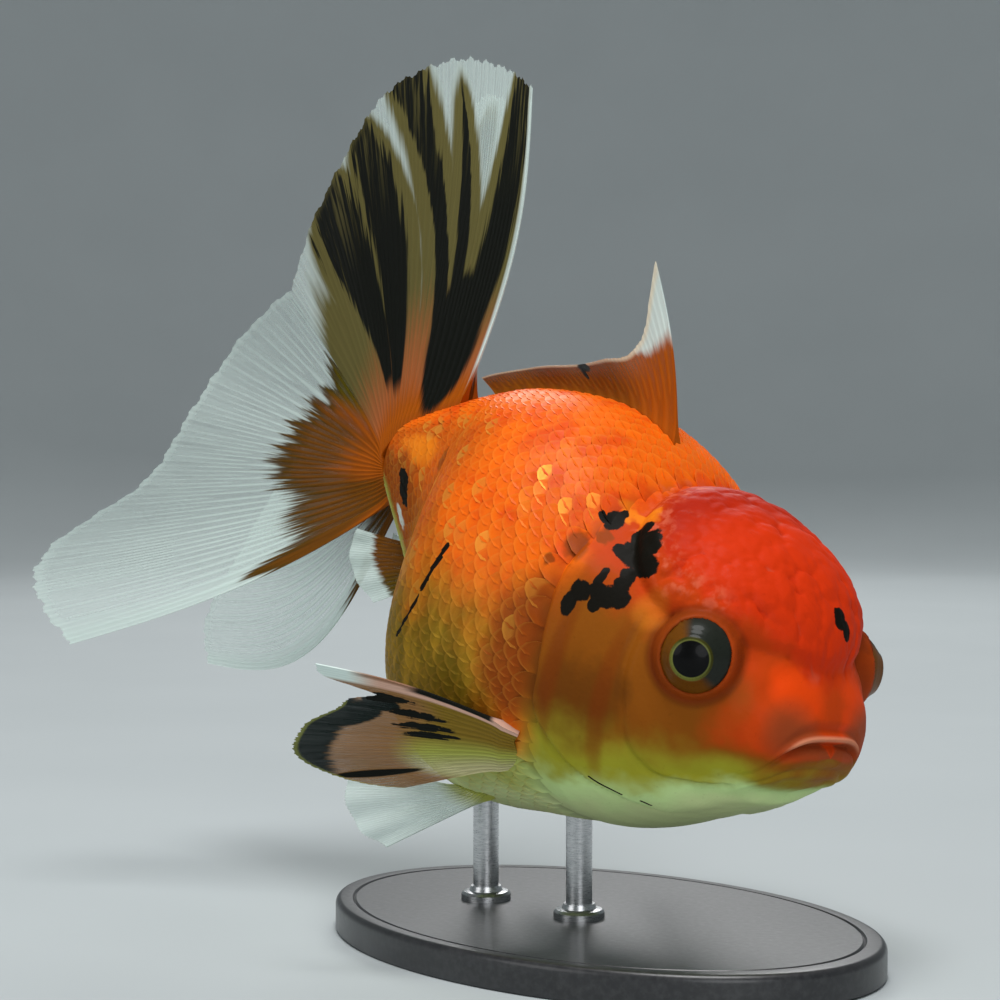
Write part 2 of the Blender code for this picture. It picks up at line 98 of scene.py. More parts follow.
# ---- hood, gill covers, mouth, eyes -----------------------------------------------------
HOOD_CENTRE_S = 15.4
HOOD_HALF_LENGTH = 12.3
HOOD_HALF_TURN = 57.0
HOOD_THICK = 4.7
HOOD_MM_PER_DEGREE = 0.33
BERRY_PITCH = (3.4, 1.45)         # lobes and the small berries on them
BERRY_HEIGHT = (0.42, 0.20)
BERRY_SINK = 0.25                 # how far the lumps' feet lie under the smooth dome
BERRY_FIELD = (-26.0, 27.0)       # the patch they fill, either way from the hood's middle
GILL_EDGE = (                     # turn, s of the gill cover's free edge
    (50.0, 27.6), (66.0, 28.0), (80.0, 27.4), (95.0, 26.5), (108.0, 26.0), (116.0, 23.8),
    (126.0, 21.0), (138.0, 17.2), (150.0, 14.4), (165.0, 12.4),
)
CHEEK_EDGE = (                    # the crease between cheek and gill cover
    (60.0, 17.6), (73.0, 17.4), (88.0, 17.0), (98.0, 16.2), (111.0, 15.4), (119.0, 14.2),
    (127.0, 12.4), (132.0, 9.0), (135.0, 6.0),
)
GILL_SWELL = 0.75
GILL_CREASE = ((-0.30, 0.9, 0.7),)                       # height, place behind the edge, width
CHEEK_CREASE = ((0.32, -1.6, 1.5), (-0.42, 0.0, 0.55))
MOUTH_Z = -3.3
MOUTH_SAG = (0.008, 0.0008)       # the gape droops by these times y squared and y to the fourth
LIP_HALF_WIDTH = 6.4
MOUTH_HALF_WIDTH = 9.0            # out to the fold at its corners
LIPS = ((0.50, 0.72, 0.42), (0.30, -1.35, 1.0))          # height, place above the gape, width
LIP_GROOVES = ((0.30, 1.75, 0.50), (0.42, -3.1, 0.60))   # depth, place, width
GAPE_DEPTH = (0.62, 0.30)         # between the lips and in the fold beyond them
CHIN_TUCK = 0.9
NOSTRIL = (4.9, 5.8, 5.3)         # s, outward, z
NOSTRIL_RIM = ((0.40, 0.0, 1.4), (-0.95, 0.0, 0.50))
EYE_S = 11.4
EYE_OUT = 13.2
EYE_Z = 2.65
EYE_RADIUS = 4.75
EYE_LOOK = (-0.520, 0.850, 0.045)     # s, outward, z
LID_LOOK = (-0.50, 0.865, 0.02)
LID_RADIUS = 4.98
LID_REACH = 8.5                   # how far off its middle the swelling runs out
LID_BLEND = 2.4                   # how tightly it meets the cheek
LID_RIM = ((0.08, 1.08, 0.07),)   # height, place in shares of the opening, width
LID_OPENING = (3.90, 4.30)        # half width, half height
LID_SHIFT = (0.30, 0.35)          # ahead and up of the ring's own middle
EYE_LAY_SPAN = 10.0               # millimetres off the eye's middle to one unit of its lay
FAR_FROM_EYE = 0.9                # in that lay
LID_GLOW_ANGLE = 0.7              # where the lids are lightest, ahead and a little up
SOCKET_DEPTH = 1.2                # the skin's floor under the eyeball, below the lids' rim
PUPIL_ANGLE = 23.5                # degrees off the line of sight
IRIS_ANGLE = 28.5


# ---- shapes -----------------------------------------------------------------------------
def smooth_rows(rows, at):
    """Follow a table of named sizes smoothly; the first column is the place along it."""
    rows = np.asarray(rows, float)
    x = rows[:, 0]
    slope = np.gradient(rows, x, axis=0)
    at = np.clip(np.asarray(at, float), x[0], x[-1])
    i = np.clip(np.searchsorted(x, at) - 1, 0, len(x) - 2)
    h = (x[i + 1] - x[i])[..., None]
    t = ((at - x[i]) / (x[i + 1] - x[i]))[..., None]
    start = (2 * t**3 - 3 * t**2 + 1) * rows[i] + (t**3 - 2 * t**2 + t) * h * slope[i]
    end = (3 * t**2 - 2 * t**3) * rows[i + 1] + (t**3 - t**2) * h * slope[i + 1]
    return start + end


def unit(vectors):
    return vectors / np.maximum(np.linalg.norm(vectors, axis=-1, keepdims=True), 1e-9)


def ease(low, high, x):
    """0 below low, 1 above high, smooth between; low above high turns it round."""
    t = np.clip((np.asarray(x, float) - low) / (high - low), 0.0, 1.0)
    return t * t * (3 - 2 * t)


def hump(x, width):
    return np.exp(-(x / width) ** 2)


def ridges(x, rows):
    """The sum of several humps: height, below 0 for a crease, place and width of each."""
    return sum(height * hump(x - at, width) for height, at, width in rows)


def bare_body(s, turn):
    row = smooth_rows(BODY, s)
    crest, keel, half, level = row[..., 1], row[..., 2], row[..., 3], row[..., 4]
    a = np.radians(turn)
    across = -np.sign(np.sin(a)) * np.abs(np.sin(a)) ** SIDE_FULLNESS
    along = np.sign(np.cos(a)) * np.abs(np.cos(a)) ** SIDE_FULLNESS
    reach = np.where(along > 0, crest - level, level - keel)
    return np.stack((s, half * across, level + reach * along), axis=-1)


def body_point(s, turn, lift=0.0):
    """Points on the body, lifted straight off its surface by lift."""
    s, turn, lift = np.broadcast_arrays(np.asarray(s, float), np.asarray(turn, float), lift)
    step = 0.2
    along = bare_body(np.minimum(s + step, BODY_END), turn) - bare_body(np.maximum(s - step, 0.0), turn)
    around = bare_body(s, turn + step) - bare_body(s, turn - step)
    return bare_body(s, turn) + unit(np.cross(around, along)) * lift[..., None]


TIP = np.array(Matrix.Rotation(math.radians(NOSE_DOWN), 3, "Y")
               @ Matrix.Rotation(math.radians(ROLL), 3, "X"))


def pose(points):
    """Fish millimetres to metres in the model's frame."""
    p = np.asarray(points, float)
    fish = np.stack((PIVOT_S - p[..., 0], p[..., 1], p[..., 2]), axis=-1)
    placed = fish @ TIP.T
    placed[..., 2] += PIVOT_HEIGHT
    return placed * MM


def grid_quads(rows, sides, wrap=False):
    """Quads of a grid of points, joined round when wrap is set."""
    r, k = np.meshgrid(np.arange(rows - 1), np.arange(sides if wrap else sides - 1), indexing="ij")
    n = (k + 1) % sides
    quads = np.stack((r * sides + k, (r + 1) * sides + k, (r + 1) * sides + n, r * sides + n), axis=-1)
    return quads.reshape(-1, 4)


def sheet_quads(rows, columns):
    """Faces of a thin closed sheet: the points of one side, then those of the other."""
    top = grid_quads(rows, columns)
    total = rows * columns
    index = np.arange(total).reshape(rows, columns)
    rim = np.concatenate((index[0, :-1], index[:-1, -1], index[-1, :0:-1], index[:0:-1, 0]))
    after = np.roll(rim, -1)
    sides = np.stack((rim, after, after + total, rim + total), axis=-1)
    return np.concatenate((top, top[:, ::-1] + total, sides))


def capped_quads(rows, sides):
    """Faces of closed rings, with a fan to one point before the first and one past the last."""
    ring = np.arange(sides)
    after = np.roll(ring, -1)
    before, past, last = rows * sides, rows * sides + 1, (rows - 1) * sides
    faces = list(grid_quads(rows, sides, wrap=True))
    faces += [(before, a, b) for a, b in zip(ring, after)]
    faces += [(past, last + b, last + a) for a, b in zip(ring, after)]
    return faces


def turned_points(profile, sides, stretch=(1.0, 1.0)):
    """Rings of points round the upright axis from pairs of radius and height."""
    a = np.arange(sides) * 2 * math.pi / sides
    radius, height = np.array(profile).T[..., None]
    rings = (radius * np.cos(a) * stretch[0], radius * np.sin(a) * stretch[1], height)
    return np.stack(np.broadcast_arrays(*rings), axis=-1).reshape(-1, 3)


def add_mesh(name, points, faces, finish, maps=None, body="root", sharp=None, wrap=False):
    """One piece from points in metres. maps holds a UV place for every point, by map name."""
    points = np.asarray(points, float).reshape(-1, 3)
    quads = list(faces)
    a, b, c = (points[[f[k] for f in quads]] for k in range(3))
    d = points[[f[-1] for f in quads]]
    signed = np.sum(a * (np.cross(b, c) + np.cross(c, d)))
    if signed < 0:
        quads = [face[::-1] for face in quads]
    mesh = bpy.data.meshes.new(name)
    mesh.from_pydata(points.tolist(), [], [list(map(int, face)) for face in quads])
    mesh.update()
    corner = np.zeros(len(mesh.loops), np.int32)
    mesh.loops.foreach_get("vertex_index", corner)
    for map_name, places in (maps or {}).items():
        layer = mesh.uv_layers.new(name=map_name)
        values = np.asarray(places, float).reshape(-1, 2)[corner]
        if wrap:
            starts = np.array([p.loop_start for p in mesh.polygons])
            sizes = np.array([p.loop_total for p in mesh.polygons])
            face_of = np.repeat(np.arange(len(starts)), sizes)
            high = np.maximum.reduceat(values[:, 1], starts)[face_of]
            values[:, 1] += (high - values[:, 1] > 0.5)
        layer.data.foreach_set("uv", values.ravel())
    mesh.materials.append(finish.material)
    piece = bpy.data.objects.new(name, mesh)
    bpy.context.scene.collection.objects.link(piece)
    mesh.shade_smooth()
    if sharp:
        mesh.set_sharp_from_angle(angle=math.radians(sharp))
    if body:
        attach(piece, body)
    return piece


# ---- finishes ---------------------------------------------------------------------------
class Field:
    """One socket in a finish; plain arithmetic on it adds the Math nodes."""

    def __init__(self, finish, socket):
        self.finish = finish
        self.socket = socket

    def maths(self, operation, *values):
        return self.finish.node("ShaderNodeMath", {"operation": operation}, values)

    def __add__(self, other):
        return self.maths("ADD", self, other)

    def __sub__(self, other):
        return self.maths("SUBTRACT", self, other)

    def __rsub__(self, other):
        return self.maths("SUBTRACT", other, self)

    def __mul__(self, other):
        return self.maths("MULTIPLY", self, other)

    def __truediv__(self, other):
        return self.maths("DIVIDE", self, other)

    def __abs__(self):
        return self.maths("ABSOLUTE", self)

    __radd__ = __add__
    __rmul__ = __mul__

    def least(self, other):
        return self.maths("MINIMUM", self, other)

    def most(self, other):
        return self.maths("MAXIMUM", self, other)

    def step(self, low, high):
        """0 at low and 1 at high, smooth between; low above high turns it round."""
        values = {"Value": self, "From Min": low, "From Max": high}
        return self.finish.node("ShaderNodeMapRange", {"interpolation_type": "SMOOTHSTEP"}, values)

    def output(self, index):
        return Field(self.finish, self.socket.node.outputs[index])


class Finish:
    """A named material and the one way that nodes are added to it."""

    def __init__(self, name, **sockets):
        self.material = bpy.data.materials.new(name)
        self.material.use_nodes = True
        self.tree = self.material.node_tree
        self.surface = self.tree.nodes["Principled BSDF"]
        for socket, value in sockets.items():
            self.surface.inputs[socket.replace("_", " ")].default_value = value

    def node(self, kind, settings=None, values=(), out=0):
        made = self.tree.nodes.new(kind)
        for key, value in (settings or {}).items():
            setattr(made, key, value)
        for key, value in (values.items() if isinstance(values, dict) else enumerate(values)):
            socket = made.inputs[key]
            if isinstance(value, Field):
                self.tree.links.new(value.socket, socket)
            elif socket.type == "RGBA":
                socket.default_value = (*value, 1.0)
            else:
                socket.default_value = value
        return Field(self, made.outputs[out])

    def mix(self, first, second, share):
        """A colour part way from the first to the second."""
        return self.node("ShaderNodeMix", {"data_type": "RGBA"}, {0: share, 6: first, 7: second}, 2)

    def shade(self, colour, share):
        """The colour with a share of black in it."""
        return self.mix(colour, (0.0, 0.0, 0.0), share)

    def lay(self, name):
        """The two coordinates of a UV map."""
        place = self.node("ShaderNodeUVMap", {"uv_map": name})
        split = self.node("ShaderNodeSeparateXYZ", None, (place,))
        return split, split.output(1)

    def here(self):
        return self.node("ShaderNodeTexCoord", out=3)

    def vector(self, x, y, z=0.0):
        return self.node("ShaderNodeCombineXYZ", None, (x, y, z))

    def noise(self, size, detail=2.0, rough=0.5, at=None):
        """Noise about size across: millimetres on the model, or units of the given place."""
        scale = 1.0 / size if at is not None else 1.0 / (size * MM)
        values = {"Vector": at or self.here(), "Scale": scale, "Detail": detail, "Roughness": rough}
        return self.node("ShaderNodeTexNoise", None, values)

    def cells(self, size, feature="F1", at=None):
        scale = 1.0 / size if at is not None else 1.0 / (size * MM)
        return self.node("ShaderNodeTexVoronoi", {"feature": feature},
                         {"Vector": at or self.here(), "Scale": scale})

    def set(self, socket, field):
        self.tree.links.new(field.socket, self.surface.inputs[socket])

    def bump(self, height, distance, strength=1.0):
        bump = self.node("ShaderNodeBump", None,
                         {"Height": height, "Distance": distance * MM, "Strength": strength})
        self.set("Normal", bump)


# colours are linear
BACK_ORANGE = (0.93, 0.150, 0.004)
BACK_DEEP = (0.80, 0.080, 0.003)
PEDUNCLE_GOLD = (0.90, 0.24, 0.008)
# olive of the lower flank: partly the fish's own colour, partly painted shade
FLANK_OLIVE = (0.21, 0.130, 0.007)
FLANK_GOLD = (0.38, 0.215, 0.013)
SHOULDER_BROWN = (0.26, 0.050, 0.003)
BELLY_GREEN = (0.44, 0.47, 0.09)
BELLY_WHITE = (0.66, 0.76, 0.36)
HOOD_RED = (0.66, 0.034, 0.003)
HOOD_PINK = (0.86, 0.22, 0.12)
SNOUT_RED = (0.55, 0.050, 0.003)
SNOUT_BRIGHT = (0.80, 0.060, 0.003)
MOUTH_DUSK = (0.22, 0.065, 0.022)
CHEEK_BROWN = (0.27, 0.075, 0.004)
GILL_BROWN = (0.17, 0.048, 0.003)
GILL_GREEN = (0.36, 0.34, 0.025)
THROAT_PALE = (0.60, 0.82, 0.34)
BACK_DIM = (0.50, 0.085, 0.003)
GILL_RED = (0.20, 0.034, 0.002)
EYE_GOLD = (0.72, 0.22, 0.015)
EYE_RIM = (0.27, 0.045, 0.004)
LID_RED = (0.40, 0.050, 0.004)
LIP_PINK = (0.66, 0.24, 0.13)
# deep red of the hood's back, partly painted shade, and the painted shade in the hood's creases
HOOD_DEEP = (0.36, 0.012, 0.002)
EYE_LINE = (0.11, 0.018, 0.002)
# painted highlight on the scales' rims and glints
SCALE_GLINT_GOLD = (0.98, 0.46, 0.06)
BLACK = (0.006, 0.005, 0.003)
FIN_WHITE = (0.72, 0.84, 0.79)

BLACK_SPOTS = (           # s, turn, half s, half turn
    (22.5, 44.5, 1.9, 6.6), (20.6, 48.8, 1.5, 3.4), (23.9, 39.5, 0.8, 3.6), (24.3, 48.0, 1.0, 2.6),
    (21.8, 54.0, 0.9, 3.2), (21.6, 58.0, 0.9, 3.4), (21.2, 62.3, 1.4, 4.0), (22.7, 65.6, 1.6, 3.4),
    (24.9, 68.3, 1.2, 3.4), (25.4, 73.6, 0.8, 4.2), (23.9, 60.8, 0.46, 4.0), (22.9, 70.0, 0.6, 2.4),
    (27.5, 40.5, 0.95, 4.0), (28.6, 43.2, 0.7, 1.3), (27.4, 36.8, 0.45, 2.0), (71.8, 90.2, 1.9, 4.4),
    (70.6, 97.0, 1.7, 4.6), (7.0, -5.0, 0.8, 3.6), (6.3, -9.5, 0.7, 3.2), (52.0, -64.0, 1.8, 5.0),
    (54.2, -60.0, 1.0, 3.0), (30.5, -52.0, 1.2, 3.4),
)
BLACK_STROKES = (         # s, turn to s, turn, half width, millimetres to a degree there
    (44.7, 76.0, 46.4, 86.6, 0.34, 0.41), (46.7, 88.6, 49.4, 100.0, 0.26, 0.41),
    (19.4, 127.0, 16.5, 136.5, 0.11, 0.33), (14.9, 141.5, 14.2, 145.5, 0.12, 0.33),
)
SHOULDER_PATCH = ((29.5, 92.0, 4.6, 22.0),)     # s, turn, half s, half turn from here on
CHEEK_PATCH = ((21.2, 99.0, 5.4, 17.0),)
SNOUT_PATCH = ((2.6, 32.0, 2.2, 24.0),)
MOUTH_PATCH = ((0.4, 66.0, 2.4, 36.0),)
GILL_BANDS = ((18.6, 98.0, 0.9, 26.0), (24.6, 92.0, 1.0, 22.0))
HOOD_PATCH = ((15.0, 0.0, 12.2, 46.0),)
DIM_SPOTS = ((28.6, 57.5, 1.5, 5.6), (26.9, 46.5, 1.0, 2.6), (30.4, 67.0, 0.7, 2.4), (63.0, 62.0, 1.0, 5.0))
GOLD_SPOTS = ((70.6, 66.0, 4.6, 11.0), (26.2, 34.0, 1.8, 3.4))
VENT_SPOTS = ((70.5, 112.0, 2.0, 4.6),)
EYE_GLOW = ((0.174, 0.668, 0.018, 0.020),)     # in shares of the skin's own lay


def spots(s, turn, rows):
    """The nearest of several oval spots: below 1 inside one, above it outside."""
    nearest = None
    for spot_s, spot_turn, half_s, half_turn in rows:
        along = (s - spot_s) * (1.0 / half_s)
        around = (turn - spot_turn) * (1.0 / half_turn)
        reach = along * along + around * around
        nearest = reach if nearest is None else nearest.least(reach)
    return nearest


def stroke(s, turn, row):
    """Distance from a straight stroke on the side, in half widths."""
    s0, turn0, s1, turn1, half, scale = row
    along, around = s1 - s0, (turn1 - turn0) * scale
    length = math.hypot(along, around)
    x = (s - s0) * (along / length) + (turn - turn0) * (scale * around / length)
    off = (s - s0) * (-around / length) + (turn - turn0) * (scale * along / length)
    past = (0.0 - x).most(x - length).most(0.0)
    return (off * off + past * past) * (1.0 / half**2)


def body_paint(f):
    """The fish's colours by place on the body, for the skin and the scales alike."""
    u, v = f.lay("body_lay")
    drift = f.noise(5.0, 3.0)
    ripple = f.noise(2.2, 2.0)
    s_true = u * 100.0
    turn_true = (v - 0.5) * 360.0
    side = abs(turn_true)
    s = s_true + (drift - 0.5) * 5.0
    turn = turn_true + (ripple - 0.5) * 14.0
    around = side + (drift - 0.5) * 26.0
    mix = f.mix

    back = mix(BACK_ORANGE, BACK_DEEP, f.noise(6.5, 4.0, 0.6).step(0.44, 0.66))
    back = mix(back, BACK_DIM, s.step(44.0, 54.0) * around.step(30.0, 52.0) * 0.75)
    back = mix(back, GILL_BROWN, s.step(60.0, 68.0) * around.step(70.0, 88.0) * 0.6)
    # lower flank olive with gold streaks; the olive is partly painted shade of the side turned away from the
    # overhead light
    tall = f.vector(s_true * 0.55, side * 0.045)
    flank = mix(FLANK_OLIVE, FLANK_GOLD, f.noise(1.0, 2.0, at=tall).step(0.42, 0.66))
    colour = mix(back, flank, around.step(68.0, 100.0) * s.step(28.0, 36.0) * s.step(68.0, 60.0))
    colour = mix(colour, BELLY_GREEN, around.step(114.0, 134.0))
    colour = mix(colour, SHOULDER_BROWN, spots(s, side, SHOULDER_PATCH).step(1.5, 0.4) * 0.9)

    cheek = mix(CHEEK_BROWN, GILL_BROWN, spots(s, around, CHEEK_PATCH).step(1.2, 0.3))
    cheek = mix(cheek, GILL_GREEN, around.step(98.0, 124.0) * s.step(-1.0, 4.5))
    face = mix(SNOUT_RED, cheek, around.step(52.0, 74.0) * s.step(3.5, 8.8))
    face = mix(face, SNOUT_BRIGHT, spots(s, side, SNOUT_PATCH).step(1.6, 0.2))
    face = mix(face, cheek, around.step(90.0, 106.0))
    face = mix(face, MOUTH_DUSK, spots(s_true, side, MOUTH_PATCH).step(1.7, 0.0) * 0.6)
    face = mix(face, GILL_RED, spots(s_true, side, GILL_BANDS).step(2.2, 0.0) * 0.6)
    colour = mix(face, colour, s.step(25.5, 29.5))
    colour = mix(colour, THROAT_PALE, around.step(124.0, 140.0) * s.step(1.5, 4.5) * s.step(32.0, 24.0))
    colour = mix(colour, BELLY_WHITE, around.step(132.0, 158.0) * s.step(3.0, 8.0))

    hood = spots(s, abs(turn), HOOD_PATCH)
    # the hood darkens toward its back: partly its own deep red, partly painted shade that tones down the
    # light on its top
    red = mix(HOOD_RED, HOOD_DEEP, s.step(15.5, 23.0) * 0.80)
    colour = mix(colour, red, hood.step(1.25, 0.75))
    haze = hood.step(0.62, 0.95) * hood.step(1.5, 1.1) * s.step(10.0, 14.0)
    haze = haze * f.noise(1.4, 3.0).step(0.46, 0.66)
    colour = mix(colour, HOOD_PINK, haze * 0.35)
    dim = spots(s_true, turn, DIM_SPOTS)
    colour = mix(colour, SHOULDER_BROWN, dim.step(1.4, 0.5) * 0.8)
    colour = mix(colour, PEDUNCLE_GOLD, spots(s, abs(turn), GOLD_SPOTS).step(1.8, 0.2) * 0.8)
    vent = spots(s_true, side, VENT_SPOTS) + ripple
    colour = mix(colour, FIN_WHITE, vent.step(1.7, 1.1) * 0.8)

    rough_edge = (f.noise(0.9, 3.0, 0.6) - 0.5) * 1.7
    dark = spots(s_true + (ripple - 0.5) * 0.7, turn_true + (drift - 0.5) * 3.0, BLACK_SPOTS)
    dark = dark + rough_edge
    for row in BLACK_STROKES:
        dark = dark.least(stroke(s_true, turn_true, row) + rough_edge * 0.5)
    dark = dark.step(1.35, 1.0)
    plain = 1.0 - dark
    return mix(colour, BLACK, dark), around, plain, hood.step(1.20, 0.80) * plain


# ---- the skin ---------------------------------------------------------------------------
def skin_rings():
    """s of each ring: close together over the head, wider behind it."""
    s = np.linspace(0.0, BODY_END, 6000)
    row = smooth_rows(BODY, s)
    reach = np.maximum(row[:, 3], (row[:, 1] - row[:, 2]) / 2)
    path = np.hypot(np.diff(s), np.diff(reach))
    pace = HEAD_PACE + (BODY_PACE - HEAD_PACE) * ease(HEAD_END, HEAD_END + 6, s[1:])
    count = np.concatenate(((0.0,), np.cumsum(path / pace)))
    return np.interp(np.linspace(0.0, count[-1], round(count[-1]) + 1), count, s)


def skin_turns():
    """The turn of each side of the skin, from keel to keel, closer together above."""
    share = np.linspace(-1.0, 1.0, SKIN_SIDES, endpoint=False)
    knots = ((-1.0, -180.0), (-TOP_SHARE, -TOP_HALF_TURN), (TOP_SHARE, TOP_HALF_TURN), (1.0, 180.0))
    at, turn = zip(*knots)
    return np.interp(share, at, turn)


def berries(x, y, pitch, height):
    """Rounded lumps packed side by side, with a crease between neighbours."""
    rows = np.arange(*BERRY_FIELD, pitch * 0.87)
    seeds = []
    for k, along in enumerate(rows):
        across = np.arange(*BERRY_FIELD, pitch) + (k % 2) * pitch / 2
        seeds.append(np.stack((np.full(len(across), along), across), axis=-1))
    seeds = np.concatenate(seeds)
    seeds += CHANCE.uniform(-0.24, 0.24, seeds.shape) * pitch
    size = CHANCE.uniform(0.80, 1.15, len(seeds)) * pitch * 0.66
    best = np.zeros(x.shape)
    for (sx, sy), radius in zip(seeds, size):
        near = (np.abs(x - sx) < radius) & (np.abs(y - sy) < radius)
        away = ((x[near] - sx) ** 2 + (y[near] - sy) ** 2) / radius**2
        best[near] = np.maximum(best[near], np.sqrt(np.clip(1 - away, 0, 1)))
    return best * height


def eye_frame(side, look):
    """Centre of an eye, the way it looks, and the directions ahead and up across it."""
    centre = np.array((EYE_S, side * EYE_OUT, EYE_Z))
    look = unit(np.array((look[0], side * look[1], look[2])))
    ahead = np.array((-1.0, 0.0, 0.0))
    ahead = unit(ahead - look * np.dot(ahead, look))
    up = unit(np.array((0.0, 0.0, 1.0)) - look * look[2])
    up = unit(up - ahead * np.dot(up, ahead))
    return centre, look, ahead, up


def lid_place(points, side):
    """Height of points along the way an eye bulges, distance off that line, its share of the
    lids' opening and the angle round it, 0 ahead and a quarter turn up."""
    centre, look, ahead, up = eye_frame(side, LID_LOOK)
    offset = points - centre
    level = offset @ look
    x, y = offset @ ahead, offset @ up
    share = np.hypot((x - LID_SHIFT[0]) / LID_OPENING[0], (y - LID_SHIFT[1]) / LID_OPENING[1])
    return level, np.hypot(x, y), share, np.arctan2(y, x)


def raise_lids(points, side):
    """Swell the skin round one eye like a short drum and open it over the eyeball."""
    _, look, _, _ = eye_frame(side, LID_LOOK)
    level, off, share, _ = lid_place(points, side)
    near = (points[..., 1] * side > 2.0) & (off < LID_REACH) & (level > -6.0)
    wall = 4.0 * np.clip(off - LID_RADIUS + 0.1, 0, None)
    drum = np.sqrt(np.clip(LID_RADIUS**2 - off**2, 0.0, None)) - wall
    swollen = np.logaddexp(level * LID_BLEND, drum * LID_BLEND) / LID_BLEND
    swollen = swollen + ridges(share, LID_RIM) * ease(0.98, 1.04, share)
    floor = math.sqrt(EYE_RADIUS**2 - LID_OPENING[0] ** 2) - SOCKET_DEPTH
    swollen = floor + (swollen - floor) * ease(0.88, 1.01, share)
    weight = ease(LID_REACH, LID_REACH - 1.5, off)
    lift = np.where(near, (swollen - level) * weight, 0.0)
    return points + lift[..., None] * look


def bare_grid():
    """s, turn, place and outward way of the skin's points on the bare body, ring by ring. Smaller
    and smaller rings close it over the snout."""
    s = skin_rings()
    turn = skin_turns()
    disc = np.array(SNOUT_DISC)
    grid_s, grid_turn = np.meshgrid(s, turn, indexing="ij")
    base = bare_body(grid_s, grid_turn)
    inner = np.array(SNOUT_CENTRE) + disc[:, None, None] * (base[0] - np.array(SNOUT_CENTRE))
    base = np.concatenate((inner, base))
    grid_s = np.concatenate((np.zeros((len(disc), len(turn))), grid_s))
    grid_turn = np.broadcast_to(turn, grid_s.shape)
    soft = base.copy()
    soft[1:-1] = (base[:-2] + 2 * base[1:-1] + base[2:]) / 4
    along = np.gradient(soft, axis=0)
    around = np.roll(soft, -1, axis=1) - np.roll(soft, 1, axis=1)
    return grid_s, grid_turn, base, unit(np.cross(around, along))


def hood_lift(s, turn):
    """Height of the hood with its lobes and berries, and the relief of those lumps alone."""
    reach = np.hypot((s - HOOD_CENTRE_S) / HOOD_HALF_LENGTH, turn / HOOD_HALF_TURN)
    dome = np.clip(1 - reach**2, 0, 1) ** (0.5 + 0.35 * ease(13.0, 4.0, s))
    x, y = s - HOOD_CENTRE_S, turn * HOOD_MM_PER_DEGREE
    lobes = berries(x, y, BERRY_PITCH[0], BERRY_HEIGHT[0])
    small = berries(x + 0.6 * np.sin(y), y, BERRY_PITCH[1], BERRY_HEIGHT[1])
    on_hood = ease(1.12, 0.86, reach)
    lift = HOOD_THICK * dome * ease(0.0, 0.25, dome) + (lobes + small - BERRY_SINK) * on_hood
    return lift, (lobes + small) / sum(BERRY_HEIGHT) * on_hood


def face_lift(s, turn):
    """Height of the gill cover and the cheek over the bare head, with the creases at their edges."""
    past = s - smooth_rows(GILL_EDGE, turn)[..., 1]
    on_cover = ease(48.0, 64.0, turn) * ease(168.0, 150.0, turn)
    swell = ease(-9.0, -2.0, past) * ease(0.25, -0.35, past)
    cover = on_cover * (GILL_SWELL * swell + ridges(past, GILL_CREASE))
    past = s - smooth_rows(CHEEK_EDGE, turn)[..., 1]
    on_cheek = ease(58.0, 72.0, turn) * ease(146.0, 134.0, turn) * ease(4.0, 7.0, s)
    return cover + on_cheek * ridges(past, CHEEK_CREASE)


def mouth_lift(s, base):
    """How far the lips stand out and the gape, grooves and chin go in, and the tone of the lips.
    The gape runs across the snout and droops to its corners."""
    y, z = base[..., 1], base[..., 2]
    above = z - (MOUTH_Z - MOUTH_SAG[0] * y**2 - MOUTH_SAG[1] * y**4)
    front = ease(6.0, 4.2, s)
    fold = ease(MOUTH_HALF_WIDTH + 1.2, MOUTH_HALF_WIDTH - 2.4, np.abs(y)) * front
    wide = ease(LIP_HALF_WIDTH + 2.0, LIP_HALF_WIDTH - 1.4, np.abs(y)) * front
    gape = GAPE_DEPTH[0] * hump(above, 0.26) * wide + GAPE_DEPTH[1] * hump(above, 0.60) * fold
    chin = CHIN_TUCK * ease(-2.6, -5.6, above) * ease(8.0, 3.0, np.abs(y)) * front
    tone = wide * np.maximum(hump(above - 0.80, 0.42), 0.30 * hump(above + 1.3, 0.9))
    return ridges(above, LIPS) * wide - ridges(above, LIP_GROOVES) * wide - gape - chin, tone


def skin_points():
    """The skin's points, ring by ring, with the s, turn and relief of each."""
    s, turn, base, normal = bare_grid()
    hood, relief = hood_lift(s, turn)
    mouth, lip_tone = mouth_lift(s, base)
    wander = np.sin(s * 1.7 + 2.0 * np.sin(turn * 0.07)) * np.sin(turn * 0.21 + s * 0.6)
    on_head = ease(HEAD_END, HEAD_END - 4, s) * ease(1.0, 4.0, s)
    lift = hood + face_lift(s, np.abs(turn)) + 0.05 * wander * on_head
    lift = lift - SCALE_BED * ease(HEAD_END - 3, HEAD_END, s) + mouth
    points = base + normal * lift[..., None]
    for side in (-1, 1):
        away = np.linalg.norm(base - np.array(NOSTRIL) * (1, side, 1), axis=-1)
        points = points + normal * ridges(away, NOSTRIL_RIM)[..., None]
        points = raise_lids(points, side)
    return s, turn, points, relief, lip_tone


